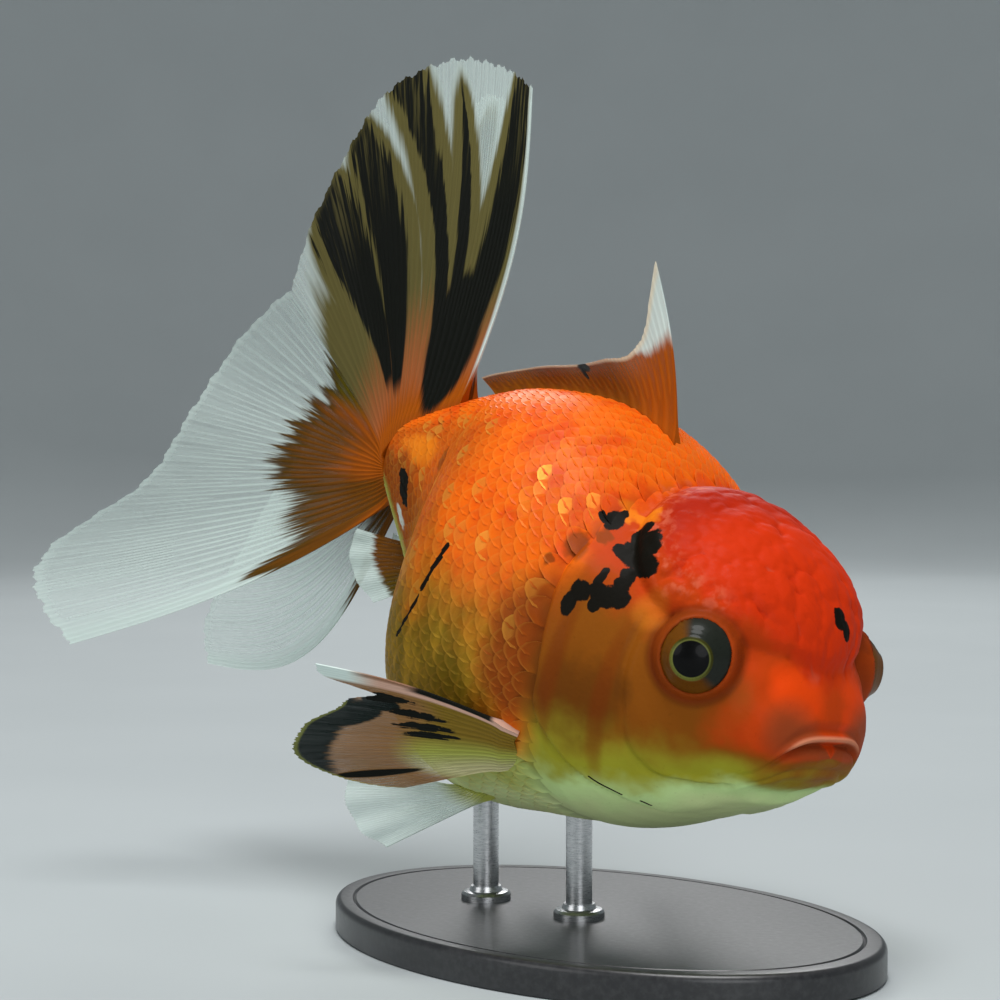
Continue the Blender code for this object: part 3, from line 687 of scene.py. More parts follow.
def skin_finish():
    f = Finish("wet_skin", Roughness=0.45, Coat_Weight=0.015, Coat_Roughness=0.12, Specular_IOR_Level=0.06)
    colour, _, _, hood = body_paint(f)
    relief, lip = f.lay("relief_lay")
    crease = relief.step(0.50, 0.12) * hood
    colour = f.mix(colour, HOOD_PINK, crease * f.noise(3.0, 2.0).step(0.50, 0.72) * 0.35)
    # painted shade: the creases between the hood's lumps are darker
    colour = f.mix(colour, HOOD_DEEP, crease * 0.40)
    colour = f.mix(colour, LIP_PINK, lip.step(0.30, 0.95) * 0.85)
    off, ahead = f.lay("eye_lay")
    lid = f.mix(EYE_RIM, LID_RED, ahead.step(0.45, 0.85))
    colour = f.mix(colour, lid, off.step(0.56, 0.48))
    colour = f.mix(colour, EYE_LINE, off.step(0.60, 0.53) * off.step(0.43, 0.50) * 0.45)
    colour = f.mix(colour, EYE_GOLD, spots(*f.lay("body_lay"), EYE_GLOW).step(1.8, 0.0) * 0.45)
    mottle = f.noise(0.8, 3.0, 0.6)
    colour = f.shade(colour, mottle.step(0.60, 0.85) * 0.18)
    f.set("Base Color", colour)
    f.set("Roughness", mottle * 0.20 + 0.48)
    pores = f.cells(0.55)
    f.bump(pores * 0.7 + mottle * 0.6, 0.06, 0.5)
    return f


def build_skin():
    s, turn, points, relief, lip = skin_points()
    rows, sides = s.shape
    flat = points.reshape(-1, 3)
    tips = np.array((points[0].mean(axis=0), points[-1].mean(axis=0)))
    body_lay = np.stack((s / 100.0, turn / 360.0 + 0.5), axis=-1).reshape(-1, 2)
    relief_lay = np.stack((relief, lip), axis=-1).reshape(-1, 2)
    eye_lay = np.full((len(flat), 2), FAR_FROM_EYE)
    for side in (-1, 1):
        _, off, _, angle = lid_place(flat, side)
        beside = (flat[:, 1] * side > 2) & (off < FAR_FROM_EYE * EYE_LAY_SPAN)
        ahead = 0.5 + 0.5 * np.cos(angle - LID_GLOW_ANGLE)
        eye_lay[beside] = np.stack((off / EYE_LAY_SPAN, ahead), axis=-1)[beside]
    ends = {"body_lay": ((0.0, 0.5), (BODY_END / 100.0, 0.5)), "relief_lay": ((0, 0), (0, 0)),
            "eye_lay": ((FAR_FROM_EYE, FAR_FROM_EYE),) * 2}
    maps = {"body_lay": body_lay, "relief_lay": relief_lay, "eye_lay": eye_lay}
    maps = {name: np.concatenate((values, ends[name])) for name, values in maps.items()}
    placed = pose(np.concatenate((flat, tips)))
    return add_mesh("skin", placed, capped_quads(rows, sides), skin_finish(), maps,
                    wrap=True)


# ---- scales -----------------------------------------------------------------------------
SCALE_ZONES = (           # from s, to s, pitch along the body, rows round it
    (26.6, 58.0, 2.00, 44), (58.0, 68.0, 1.85, 34), (68.0, 78.2, 1.60, 22),
)
SCALE_LENGTH = 1.95       # in pitches
SCALE_HALF_WIDTH = 0.51   # of the space between rows
SCALE_THICK = 0.10
SCALE_RISE = 0.50         # from the buried root to the free edge
BAKE_PATCH = 0.003


def scale_roots():
    """s, turn, pitch and row width in degrees of every scale, nose to tail."""
    roots = []
    for start, stop, pitch, rows in SCALE_ZONES:
        for k in range(round((stop - start) / pitch)):
            for j in range(rows):
                for half in (0, 1):
                    s = start + (k + half / 2) * pitch
                    turn = -180.0 + (j + half / 2 + 0.25) * 360.0 / rows
                    roots.append((s, turn, pitch, 360.0 / rows))
    roots = np.array(roots)
    s, turn = roots[:, 0], roots[:, 1]
    behind_gills = s > smooth_rows(GILL_EDGE, np.abs(turn))[:, 1] - 0.2
    off_hood = np.hypot((s - HOOD_CENTRE_S) / HOOD_HALF_LENGTH, turn / HOOD_HALF_TURN) > 0.98
    return roots[behind_gills & off_hood]


def scale_finish():
    f = Finish("scale_sheen", Roughness=0.36, Coat_Weight=0.02, Coat_Roughness=0.16, Specular_IOR_Level=0.10)
    colour, around, plain, _ = body_paint(f)
    _, along = f.lay("scale_lay")
    tone, spark = f.lay("tone_lay")
    # painted shade: each scale is darker toward its root, under the free edge of the scales ahead
    colour = f.shade(colour, along.step(0.70, 0.30) * 0.22)
    # painted highlight: a gold rim along each scale's free edge
    rim = along.step(0.86, 0.97) * 0.10 * plain
    # painted glints: gold toward the free edge of random scales on the flanks, never on black
    flank = around.step(24.0, 44.0) * around.step(104.0, 78.0)
    glint = spark.step(0.80, 0.97) * along.step(0.46, 0.70) * flank * plain
    colour = f.mix(colour, SCALE_GLINT_GOLD, rim + glint * 0.42)
    colour = f.shade(colour, tone * 0.10)
    f.set("Base Color", colour)
    f.set("Roughness", tone * 0.14 + 0.30 + f.noise(0.7, 2.0) * 0.14)
    f.set("Metallic", around.step(60.0, 100.0) * around.step(150.0, 125.0) * 0.30 + glint * 0.3)
    growth = along.maths("SINE", along * 46.0) * 0.10
    f.bump(growth + f.noise(0.5, 3.0, 0.6), 0.03, 0.5)
    return f


def build_scales():
    """Overlapping closed plates in two pieces, the fish's right side and its left."""
    across = np.linspace(-1.0, 1.0, 7)
    along = np.linspace(0.0, 1.0, 5)
    b, a = np.meshgrid(along, across, indexing="ij")
    rows, columns = a.shape
    quads = sheet_quads(rows, columns)
    roots = scale_roots()
    tone = CHANCE.uniform(0.0, 1.0, (len(roots), 2))
    lean = CHANCE.uniform(-0.06, 0.06, (len(roots), 1, 1))
    finish = scale_finish()
    reach = 1.0 - 0.38 * a**2 - 0.12 * a**4
    s, turn, pitch, width = (roots[:, k][:, None, None] for k in range(4))
    at_s = s - 0.45 * pitch + b * reach * pitch * SCALE_LENGTH
    at_turn = turn + (a + lean * b) * width * SCALE_HALF_WIDTH
    rise = -SCALE_BED - 0.16 + SCALE_RISE * b * pitch / SCALE_ZONES[0][2] - 0.07 * a**2 + 0.05 * a
    plates = []
    for sheet in (0.0, SCALE_THICK):
        plates.append(body_point(np.minimum(at_s, BODY_END - 1.0), at_turn, rise - sheet))
    points = np.stack(plates, axis=1)                  # scale, side, row, column, xyz
    cells = rows * columns
    for name, chosen in (("scales_right", roots[:, 1] >= 0), ("scales_left", roots[:, 1] < 0)):
        count = int(chosen.sum())
        faces = (quads[None] + np.arange(count)[:, None, None] * 2 * cells).reshape(-1, 4)

        def spread(u, v):
            pair = np.stack(np.broadcast_arrays(u, v), axis=-1)[:, None]
            return np.broadcast_to(pair, (count, 2, rows, columns, 2)).reshape(-1, 2)

        root_u = roots[chosen, 0][:, None, None] / 100.0 * 0.96 + 0.02
        root_v = (roots[chosen, 1][:, None, None] / 360.0 + 0.5) * 0.96 + 0.02
        maps = {
            "OFBake": spread(root_u + b * BAKE_PATCH, root_v + a * BAKE_PATCH / 2),
            "body_lay": spread(at_s[chosen] / 100.0, at_turn[chosen] / 360.0 + 0.5),
            "scale_lay": spread((a + 1) / 2 + 0 * root_u, b + 0 * root_u),
            "tone_lay": spread(*(tone[chosen, k][:, None, None] + 0 * a for k in range(2))),
        }
        add_mesh(name, pose(points[chosen]), faces, finish, maps, sharp=50.0)


# ---- fins: place along the root, ray angle, ray length, sideways lean, bow --------------
TAIL_ROOT = ((69.6, 17.6), (75.4, 14.6), (79.6, 11.9), (81.4, 9.2), (81.8, 7.0), (81.4, 4.8), (80.2, 2.9),
             (77.9, 1.0))
TAIL_ROOT_OUT = 0.95
TAIL_RIGHT_UPPER = (
    (0.00, 78.0, 41.2, -5.0, 3.6), (0.12, 78.5, 45.4, -3.0, 2.8), (0.24, 76.5, 47.0, 0.0, 1.6),
    (0.34, 71.5, 43.5, 5.0, 0.6), (0.44, 65.0, 37.5, 7.0, 0.0), (0.51, 57.0, 29.3, 9.0, 0.0),
    (0.56, 46.0, 23.0, 9.0, 0.0),
)
TAIL_RIGHT_LOWER = (
    (0.57, 44.0, 23.0, 9.0, 0.0), (0.63, 16.0, 24.3, 10.0, 0.0), (0.70, -5.0, 25.8, 13.0, 0.0),
    (0.78, -22.0, 31.0, 16.0, 0.0), (0.86, -32.0, 44.5, 22.0, -0.6), (0.94, -38.0, 46.8, 22.0, -1.0),
    (1.00, -45.5, 45.0, 20.0, -1.6),
)
TAIL_LEFT_UPPER = (
    (0.00, 72.0, 40.0, 3.0, -1.0), (0.16, 71.0, 43.0, 6.0, -1.0), (0.30, 67.0, 41.0, 8.0, -0.5),
    (0.45, 58.0, 33.0, 9.0, 0.0), (0.56, 46.0, 23.0, 9.0, 0.0),
)
TAIL_LEFT_LOWER = (
    (0.57, 44.0, 23.0, 9.0, 0.0), (0.64, 14.0, 25.0, 9.0, 0.0), (0.73, -10.0, 29.0, 9.0, -1.0),
    (0.83, -28.0, 40.0, 9.0, -3.2), (0.92, -37.5, 51.5, 8.5, -6.4), (1.00, -43.0, 52.5, 8.0, -9.6),
)
DORSAL_ROOT_S = (34.1, 65.0)
DORSAL = (
    (0.00, 60.0, 22.6, 0.0, 1.0), (0.07, 55.0, 13.6, 0.3, 0.8), (0.15, 49.0, 9.2, 0.5, 0.4),
    (0.30, 38.0, 6.6, 0.9, 0.2), (0.50, 30.0, 4.9, 0.8, 0.0), (0.75, 26.0, 4.0, 0.5, 0.0),
    (1.00, 22.0, 3.6, 0.2, 0.0),
)
PECTORAL_ROOT = ((29.9, 115.0), (31.9, 134.0))
PECTORAL_FLARE = 35.0
PECTORAL = (
    (0.00, 0.0, 22.6, 0.6, 0.8), (0.08, -2.4, 22.2, 0.1, 0.7), (0.20, -6.0, 19.0, -0.6, 0.5),
    (0.45, -13.0, 23.2, 0.4, 0.2), (0.70, -19.0, 23.4, 0.6, 0.0), (0.88, -24.0, 18.4, 0.2, 0.0),
    (1.00, -30.0, 11.5, 0.0, 0.0),
)
PELVIC_ROOT = ((38.5, 157.0), (43.5, 157.0))
PELVIC_FLARE = 20.0
PELVIC_RIGHT = (
    (0.00, -44.0, 15.0, 0.0, 0.0), (0.35, -34.0, 16.6, 0.3, 0.0), (0.70, -20.0, 16.2, 0.6, 0.0),
    (1.00, -4.0, 14.0, 0.6, 0.0),
)
PELVIC_LEFT = (
    (0.00, -24.0, 12.5, 0.0, 0.0), (0.35, -16.0, 15.2, 0.3, 0.0), (0.70, -6.0, 15.6, 0.6, 0.0),
    (1.00, 4.0, 13.5, 0.6, 0.0),
)
ANAL_ROOT = ((67.6, 170.0), (73.0, 166.0))
ANAL_FLARE = 10.0
ANAL = (
    (0.00, -34.0, 7.4, 0.0, 0.0), (0.35, -24.0, 9.0, 0.3, 0.0), (0.70, -14.0, 8.8, 0.5, 0.0),
    (1.00, -4.0, 7.0, 0.5, 0.0),
)
TAIL_SEAM = 0.565        # place where the upper and the lower lobe meet
TAIL_PITCH = 1 / 40
LEAN_POWER = 1.3
WEB_HALF = 0.07          # half the thickness of the web
RAY_HALF = 0.055         # and how much a ray adds near its root
FORKS = ((0.20, 0.34), (0.52, 0.70))     # where the rays fork, and fork again, as a share of their length
RAY_COLUMNS = 12         # points across one ray and its web
RAY_TAPER = 0.85         # how much of a ray's ridge is gone at its tip
FRAY = (0.006, 0.008)    # how far the free edge steps with the rays and wanders, as a share of length
FOOT_REACH = 1.3


def off_ray(place, pitch):
    """0 on a ray's own line and 1 midway between two."""
    phase = (place / pitch) % 1.0
    return 2 * np.minimum(phase, 1 - phase)


def forked_off(place, pitch, t):
    """off_ray of rays that fork, and fork again, on their way out."""
    off = off_ray(place, pitch)
    for k, (low, high) in enumerate(FORKS):
        forked = ease(low, high, t)
        off = off * (1 - forked) + off_ray(place, pitch / 2 ** (k + 1)) * forked
    return off


def fin(name, root, rows, side, pitch, finish, span=None, flare=0.0, steps=48, sink=0.04, wave=0.5,
        waves=3.0, foot=0.5, notch=None):
    """A rayed fin: a thin closed sheet with ridged, forking rays and a soft frayed edge.
    side is -1 for the fish's right, pitch is the place between two rays, finish is its material,
    span is the stretch of the rows that is made, flare turns the fin out, foot thickens its
    root and notch shortens it at a place."""
    start, stop = span or (rows[0][0], rows[-1][0])
    columns = round((stop - start) / pitch * RAY_COLUMNS) + 1
    line = np.linspace(start, stop, columns)
    row = smooth_rows(rows, line)
    angle = np.radians(row[:, 1])[:, None]
    length, lean, bow = row[:, 2][:, None], row[:, 3][:, None], row[:, 4][:, None]
    place = line[:, None]
    t = np.linspace(-sink, 1.0, steps + 1)[None, :]
    off = forked_off(place, pitch, t)
    fray = np.sin(place * 261.0) * np.sin(place * 97.0 + 1.0)
    end = 1.0 + FRAY[0] * (1 - off_ray(place, pitch / 4)) + FRAY[1] * fray
    if notch:
        end = end - notch[1] * hump(place - notch[0], notch[2])
    t = t * (1 + (end - 1) * np.clip(t, 0, 1) ** 2)
    flare = math.radians(flare)
    aft = np.array((math.cos(flare), side * math.sin(flare), 0.0))
    up = np.array((0.0, 0.0, 1.0))
    out = np.array((-math.sin(flare), side * math.cos(flare), 0.0))
    grown = np.clip(t, 0, None)
    curve = bow * np.sin(math.pi * t)
    along = length * t * np.cos(angle) - curve * np.sin(angle)
    rise = length * t * np.sin(angle) + curve * np.cos(angle)
    sway = wave * grown**1.6 * np.sin(2 * math.pi * (place * waves + 0.22 * grown) + 1.2)
    middle = (root(line)[:, None, :] + along[..., None] * aft + rise[..., None] * up
              + (lean * grown**LEAN_POWER + sway)[..., None] * out)
    normal = unit(np.cross(np.gradient(middle, axis=0), np.gradient(middle, axis=1)))
    ridge = np.clip(1 - off * 1.5, 0, 1) ** 0.8
    half = WEB_HALF + RAY_HALF * (1 - RAY_TAPER * grown) * ridge
    half = half + foot * np.exp(-grown * length / FOOT_REACH)
    points = np.stack((middle + normal * half[..., None], middle - normal * half[..., None]))
    lay = np.stack(np.broadcast_arrays(place, t), axis=-1)
    ray = np.stack(np.broadcast_arrays(place / pitch, off), axis=-1)
    maps = {"ray_lay": np.stack((lay, lay)), "rib_lay": np.stack((ray, ray))}
    faces = sheet_quads(columns, steps + 1)
    piece = add_mesh(name + "_web", pose(points), faces, finish, maps, sharp=70.0)
    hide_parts(name)
    return piece


def tail_root(side):
    knots = np.linspace(0.0, 1.0, len(TAIL_ROOT))
    table = [(k, s, z) for k, (s, z) in zip(knots, TAIL_ROOT)]

    def root(place):
        at = smooth_rows(table, place)
        return np.stack((at[:, 1], np.full(len(at), side * TAIL_ROOT_OUT), at[:, 2]), axis=-1)
    return root


def side_root(ends, side):
    def root(place):
        s = ends[0][0] + (ends[1][0] - ends[0][0]) * place
        turn = ends[0][1] + (ends[1][1] - ends[0][1]) * place
        return body_point(s, -side * turn, 0.35)
    return root


def dorsal_root(place):
    return body_point(DORSAL_ROOT_S[0] + (DORSAL_ROOT_S[1] - DORSAL_ROOT_S[0]) * place, 0.0, 0.0)


FIN_CREAM = (0.86, 0.74, 0.52)
FIN_ORANGE = (0.40, 0.085, 0.002)
FIN_BROWN = (0.15, 0.050, 0.002)
FIN_OLIVE = (0.096, 0.074, 0.001)
FRINGE_DARK = (0.070, 0.040, 0.002)
FIN_SALMON = (0.30, 0.150, 0.055)
PADDLE_BASE = (0.24, 0.150, 0.018)
FIN_BLACK = (0.006, 0.007, 0.005)
FIN_SLATE = (0.008, 0.014, 0.012)
LEAD_PINK = (0.66, 0.40, 0.30)

# black streaks of a tail lobe: centre at root, middle and tip, half width there, where it starts and ends
TAIL_STREAKS = (
    ((0.100, 0.068, 0.040), (0.046, 0.044, 0.028), 0.01, 1.06),
    ((0.150, 0.176, 0.222), (0.014, 0.018, -0.006), 0.06, 0.97),
    ((0.170, 0.234, 0.306), (0.038, 0.017, 0.024), 0.02, 1.06),
    ((0.350, 0.358, 0.410), (0.012, 0.046, 0.020), 0.08, 1.04),
    ((0.372, 0.440, 0.482), (0.010, 0.038, 0.022), 0.12, 1.04),
)
FAR_STREAKS = (
    ((0.110, 0.100, 0.080), (0.045, 0.040, 0.024), 0.02, 0.96),
    ((0.230, 0.270, 0.320), (0.030, 0.024, 0.026), 0.05, 1.02),
    ((0.380, 0.420, 0.460), (0.020, 0.040, 0.028), 0.12, 1.02),
)
ROOT_BLOCK = ((0.130, 0.19, 0.095, 0.21),)      # where streaks join: place, t, half place, half t
DORSAL_MARK = ((0.43, 0.90, 0.034, 0.13), (0.45, 0.72, 0.012, 0.20))

# black bars, dark tip and lower edge of a pectoral fin: t, place, half t, half place
PADDLE_BARS = ((0.68, 0.150, 0.20, 0.030), (0.53, 0.245, 0.17, 0.038), (0.42, 0.350, 0.16, 0.040),
               (0.34, 0.430, 0.13, 0.036))
PADDLE_TIP = ((1.05, 0.50, 0.24, 0.36), (0.88, 0.32, 0.16, 0.12), (0.76, 0.20, 0.12, 0.06))
PADDLE_EDGE = ((0.74, 0.86, 0.26, 0.030),)


def fin_finish(name, picture):
    """A wet translucent web between firmer rays; picture gives colour and cover by place."""
    f = Finish(name, Roughness=0.46, Coat_Weight=0.0, Coat_Roughness=0.2, Specular_IOR_Level=0.08)
    place, t = f.lay("ray_lay")
    rib, off = f.lay("rib_lay")
    fibre = f.noise(1.0, 3.0, 0.6, at=f.vector(rib * 4.0, t * 3.0))
    colour, cover = picture(f, place, t, fibre)
    ray = off.step(0.66, 0.10)
    colour = f.shade(colour, off.step(0.10, 0.66) * 0.07)
    colour = f.shade(colour, fibre.step(0.52, 0.85) * 0.16)
    f.set("Base Color", colour)
    f.set("Alpha", (cover + ray * t.step(1.1, 0.3) * 0.24 + (fibre - 0.5) * 0.42).least(1.0).most(0.04))
    f.bump(fibre + ray * 0.5, 0.04, 0.6)
    return f


def through(t, values):
    """A field that passes through three values at t of 0, a half and 1."""
    start, middle, end = values
    bend = 2 * (start - 2 * middle + end)
    return (t * bend + (end - start - bend)) * t + start


def streak_fields(place, t, fibre, rows):
    """Black streaks up the rays that fray toward the edge, and the tint that borders them."""
    dark, tint = None, None
    for centre, half, start, stop in rows:
        away, width = abs(place - through(t, centre)), through(t, half)
        ragged = away / width.most(0.002) + (fibre - 0.5) * (t * t * 2.6 + 0.35)
        reach = t.step(start, start + 0.07) * t.step(stop, stop - 0.07)
        streak = ragged.step(1.10, 0.86) * reach
        border = (away - width + (fibre - 0.5) * 0.02 + t * 0.045).step(0.078, 0.032)
        border = border * t.step(stop + 0.10, stop - 0.10)
        dark = streak if dark is None else dark.most(streak)
        tint = border if tint is None else tint.most(border)
    return dark, tint.step(0.08, 0.62)


def upper_picture(rows):
    """White upper lobe with black streaks bordered in brown, out of an orange root."""
    def picture(f, place, t, fibre):
        dark, tint = streak_fields(place, t, fibre, rows)
        block = spots(place, t, ROOT_BLOCK) + (fibre - 0.5) * 0.6
        dark = dark.most(block.step(1.2, 0.8)) * (1.0 - fibre.step(0.47, 0.64) * t.step(0.60, 0.98) * 0.60)
        border = f.mix(FIN_ORANGE, FIN_OLIVE, (t + (fibre - 0.5) * 0.3).step(0.05, 0.42))
        out = t + (fibre - 0.5) * 0.26
        seam = place.step(0.460, 0.530) * 0.42 - place.step(0.530, 0.570) * 0.14
        tint = tint.most((out - seam).step(0.56, 0.30)) * place.step(0.004, 0.016)
        colour = f.mix(FIN_WHITE, border, tint * 0.96)
        colour = f.mix(colour, FIN_ORANGE, out.step(0.13, 0.03))
        colour = f.mix(colour, FIN_BLACK, dark)
        cover = out.step(0.60, 0.10) * 0.24 + 0.28 + tint * 0.74 + dark * (1.1 - t * 0.25)
        return colour, cover + place.step(0.030, 0.0) * 0.30
    return picture


def lower_picture(reach, brown):
    """White lower lobe with an orange root that frays out in brown along the rays."""
    def picture(f, place, t, fibre):
        edge = place.step(0.84, 0.75) * (0.23 - place.step(0.67, 0.60) * 0.05)
        edge = edge + place.step(0.61, 0.565) * 0.12
        out = t + (fibre - 0.5) * 0.40 - edge - place.step(0.955, 0.995) * 0.16 - reach
        colour = f.mix(FIN_ORANGE, FIN_BROWN, (out + brown).step(-0.46, -0.20) * place.step(0.58, 0.64))
        colour = f.mix(colour, FIN_OLIVE, (t - place.step(0.57, 0.66) * 0.6).step(0.10, 0.40))
        colour = f.mix(colour, FRINGE_DARK, out.step(-0.12, -0.02) * 0.75)
        colour = f.mix(colour, FIN_WHITE, out.step(-0.02, 0.05))
        cover = out.step(0.06, -0.05) * 0.52 + 0.26 + place.step(0.965, 1.0) * 0.3 + t.step(0.96, 1.0) * 0.12
        return colour, cover
    return picture


def pectoral_picture(f, place, t, fibre):
    """Green to salmon paddle with black bars, a slate tip and a pale leading ray."""
    wander = (fibre - 0.5) * 0.06
    colour = f.mix(PADDLE_BASE, BELLY_GREEN, place.step(0.35, 0.70))
    colour = f.mix(colour, FIN_SALMON, t.step(0.34, 0.56))
    colour = f.mix(colour, FIN_CREAM, place.step(0.60, 0.95) * t.step(0.6, 0.3) * 0.6)
    bars = spots(t, place + wander, PADDLE_BARS)
    grain = f.noise(1.1, 3.0, 0.6)
    bars = bars + (fibre - 0.5) * 2.6 + (grain - 0.5) * 2.4
    tip = spots(t, place, PADDLE_TIP)
    tip = tip + (fibre - 0.5) * 0.8
    low = spots(t, place, PADDLE_EDGE)
    dark = bars.step(1.15, 0.85).most(low.step(1.3, 0.8))
    colour = f.mix(colour, FIN_SLATE, tip.step(1.2, 0.8))
    colour = f.mix(colour, FIN_BLACK, dark)
    lead = place.step(0.095, 0.070)
    shaft = f.mix(LEAD_PINK, FIN_WHITE, t.step(0.66, 0.86))
    colour = f.mix(colour, shaft, lead)
    stripe = (place + wander * 0.4).step(0.050, 0.036) * t.step(0.04, 0.08) * t.step(0.56, 0.46)
    colour = f.mix(colour, FIN_BLACK, stripe)
    band = place.step(0.034, 0.012) * t.step(0.44, 0.56) * t.step(0.86, 0.74)
    colour = f.mix(colour, FIN_BROWN, band * 0.7)
    colour = f.mix(colour, BELLY_GREEN, t.step(0.972, 0.992) * (1.0 - lead) * 0.35)
    thin = place.step(0.55, 0.80) * t.step(0.60, 0.40) * 0.30
    cover = lead * 0.4 + dark * 0.4 + t.step(1.0, 0.3) * 0.20 + 0.64 + tip.step(1.2, 0.8) * 0.2
    return colour, cover - thin


def dorsal_picture(f, place, t, fibre):
    """Orange fin, brown behind, whose leading spike turns white."""
    colour = f.mix(FIN_ORANGE, FIN_BROWN, place.step(0.10, 0.32) * 0.75)
    high = t - place * 2.6 + (fibre - 0.5) * 0.16
    colour = f.mix(colour, FIN_WHITE, high.step(0.50, 0.64) * place.step(0.20, 0.12))
    colour = f.mix(colour, FIN_CREAM, t.step(0.90, 0.98) * 0.7)
    mark = spots(place, t, DORSAL_MARK) + (fibre - 0.5) * 1.2
    return f.mix(colour, FIN_BLACK, mark.step(1.2, 0.8)), t.step(1.0, 0.2) * 0.24 + 0.66


def clear_picture(f, place, t, fibre):
    """White fin out of a green root; its rays need no fibre."""
    colour = f.mix(BELLY_GREEN, FIN_WHITE, t.step(0.0, 0.26))
    return colour, t.step(1.0, 0.1) * 0.16 + 0.46 + place.step(0.05, 0.0) * 0.2


def anal_picture(f, place, t, fibre):
    out = t + (fibre - 0.5) * 0.3
    colour = f.mix(FIN_BROWN, FIN_OLIVE, place.step(0.5, 0.1) * 0.7)
    return f.mix(colour, FIN_WHITE, out.step(0.52, 0.66)), out.step(0.70, 0.5) * 0.34 + 0.50


# ---- eyes -------------------------------------------------------------------------------
PUPIL_BLACK = (0.002, 0.002, 0.002)
IRIS_DARK = (0.040, 0.038, 0.004)
IRIS_OLIVE = (0.150, 0.150, 0.022)
IRIS_RING = (0.18, 0.20, 0.05)
GLOBE_BROWN = (0.14, 0.046, 0.003)
GLOBE_CAP = (0.016, 0.019, 0.014)


def eye_finish(name, cap_turn, cap_half):
    """Black pupil, thin olive iris and a dark cap over brown, at a share of the way round the eye."""
    f = Finish(name, Roughness=0.34, Coat_Weight=0.09, Coat_Roughness=0.03, Specular_IOR_Level=0.08)
    polar, round_about = f.lay("eye_lay")
    angle = polar * 180.0
    fibre = f.noise(1.0, 3.0, 0.6, at=f.vector(polar * 30.0, round_about * 60.0))
    low = abs(round_about - 0.68).step(0.34, 0.10)
    iris = f.mix(IRIS_DARK, IRIS_OLIVE, low)
    iris = f.mix(iris, IRIS_RING, angle.step(PUPIL_ANGLE + 3.0, PUPIL_ANGLE + 1.0) * 0.5)
    iris = f.shade(iris, fibre.step(0.48, 0.80) * 0.4)
    beside = abs(round_about - cap_turn)
    cap = beside.least(1.0 - beside).step(cap_half + 0.035, cap_half - 0.035)
    white = f.mix(GLOBE_BROWN, GLOBE_CAP, cap)
    white = f.shade(white, fibre.step(0.5, 0.8) * 0.3)
    colour = f.mix(iris, white, angle.step(IRIS_ANGLE - 0.6, IRIS_ANGLE + 1.2))
    colour = f.mix(PUPIL_BLACK, colour, angle.step(PUPIL_ANGLE - 0.6, PUPIL_ANGLE + 0.6))
    f.set("Base Color", colour)
    return f


def build_eye(name, side, finish):
    """An eyeball whose clear front stands a little proud of the globe."""
    centre, look, ahead, up = eye_frame(side, EYE_LOOK)
    rings, segments = 60, 96
    polar = np.linspace(0.0, 150.0, rings)
    radius = EYE_RADIUS + 0.28 * ease(44.0, 30.0, polar) - 0.10 * hump(polar - IRIS_ANGLE - 6.0, 4.0)
    a = np.arange(segments) * 2 * math.pi / segments
    p = np.radians(polar)[:, None]
    spokes = np.cos(a)[:, None] * ahead + np.sin(a)[:, None] * up
    rays = np.cos(p)[..., None] * look + np.sin(p)[..., None] * spokes[None]
    points = centre + radius[:, None, None] * rays
    back = points[-1].mean(axis=0)
    flat = np.concatenate((points.reshape(-1, 3)[segments:], [points[0, 0], back]))
    faces = capped_quads(rings - 1, segments)
    lay = np.stack(np.broadcast_arrays(polar[1:, None] / 180.0, a[None] / (2 * math.pi)), axis=-1)
    lay = np.concatenate((lay.reshape(-1, 2), [(0.0, 0.5), (150.0 / 180.0, 0.5)]))
    globe = add_mesh(name + "_globe", pose(flat), faces, finish, {"eye_lay": lay}, wrap=True)
    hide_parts(name)


# ---- stand ------------------------------------------------------------------------------
def turned_profile(name, profile, finish, centre=(0.0, 0.0), stretch=(1.0, 1.0), segments=128):
    """A round piece from radius and height pairs in millimetres, first and last on the axis."""
    points = turned_points(profile[1:-1], segments, stretch) + np.array((*centre, 0.0))
    ends = np.array([(*centre, profile[0][1]), (*centre, profile[-1][1])])
    faces = capped_quads(len(profile) - 2, segments)
    return add_mesh(name, np.concatenate((points, ends)) * MM, faces, finish, sharp=35.0)


def stand_black():
    f = Finish("satin_black", Roughness=0.4, Coat_Weight=0.2, Coat_Roughness=0.2)
    grain = f.noise(0.8, 4.0, 0.6)
    f.set("Base Color", f.mix((0.016, 0.016, 0.018), (0.034, 0.034, 0.036), grain.step(0.35, 0.75)))
    f.set("Roughness", grain * 0.22 + 0.26)
    f.bump(grain, 0.02, 0.5)
    return f


def rod_steel():
    """Steel brushed round the rod, so its grain is finest up and down."""
    f = Finish("brushed_rod", Metallic=1.0, Roughness=0.3)
    x = f.node("ShaderNodeSeparateXYZ", None, (f.here(),))
    brushed = f.noise(1.0, 3.0, 0.7, at=f.vector(x * 900.0, x.output(1) * 900.0, x.output(2) * 9000.0))
    f.set("Base Color", f.mix((0.42, 0.43, 0.44), (0.66, 0.66, 0.67), brushed.step(0.3, 0.7)))
    f.set("Roughness", brushed * 0.18 + 0.20)
    return f


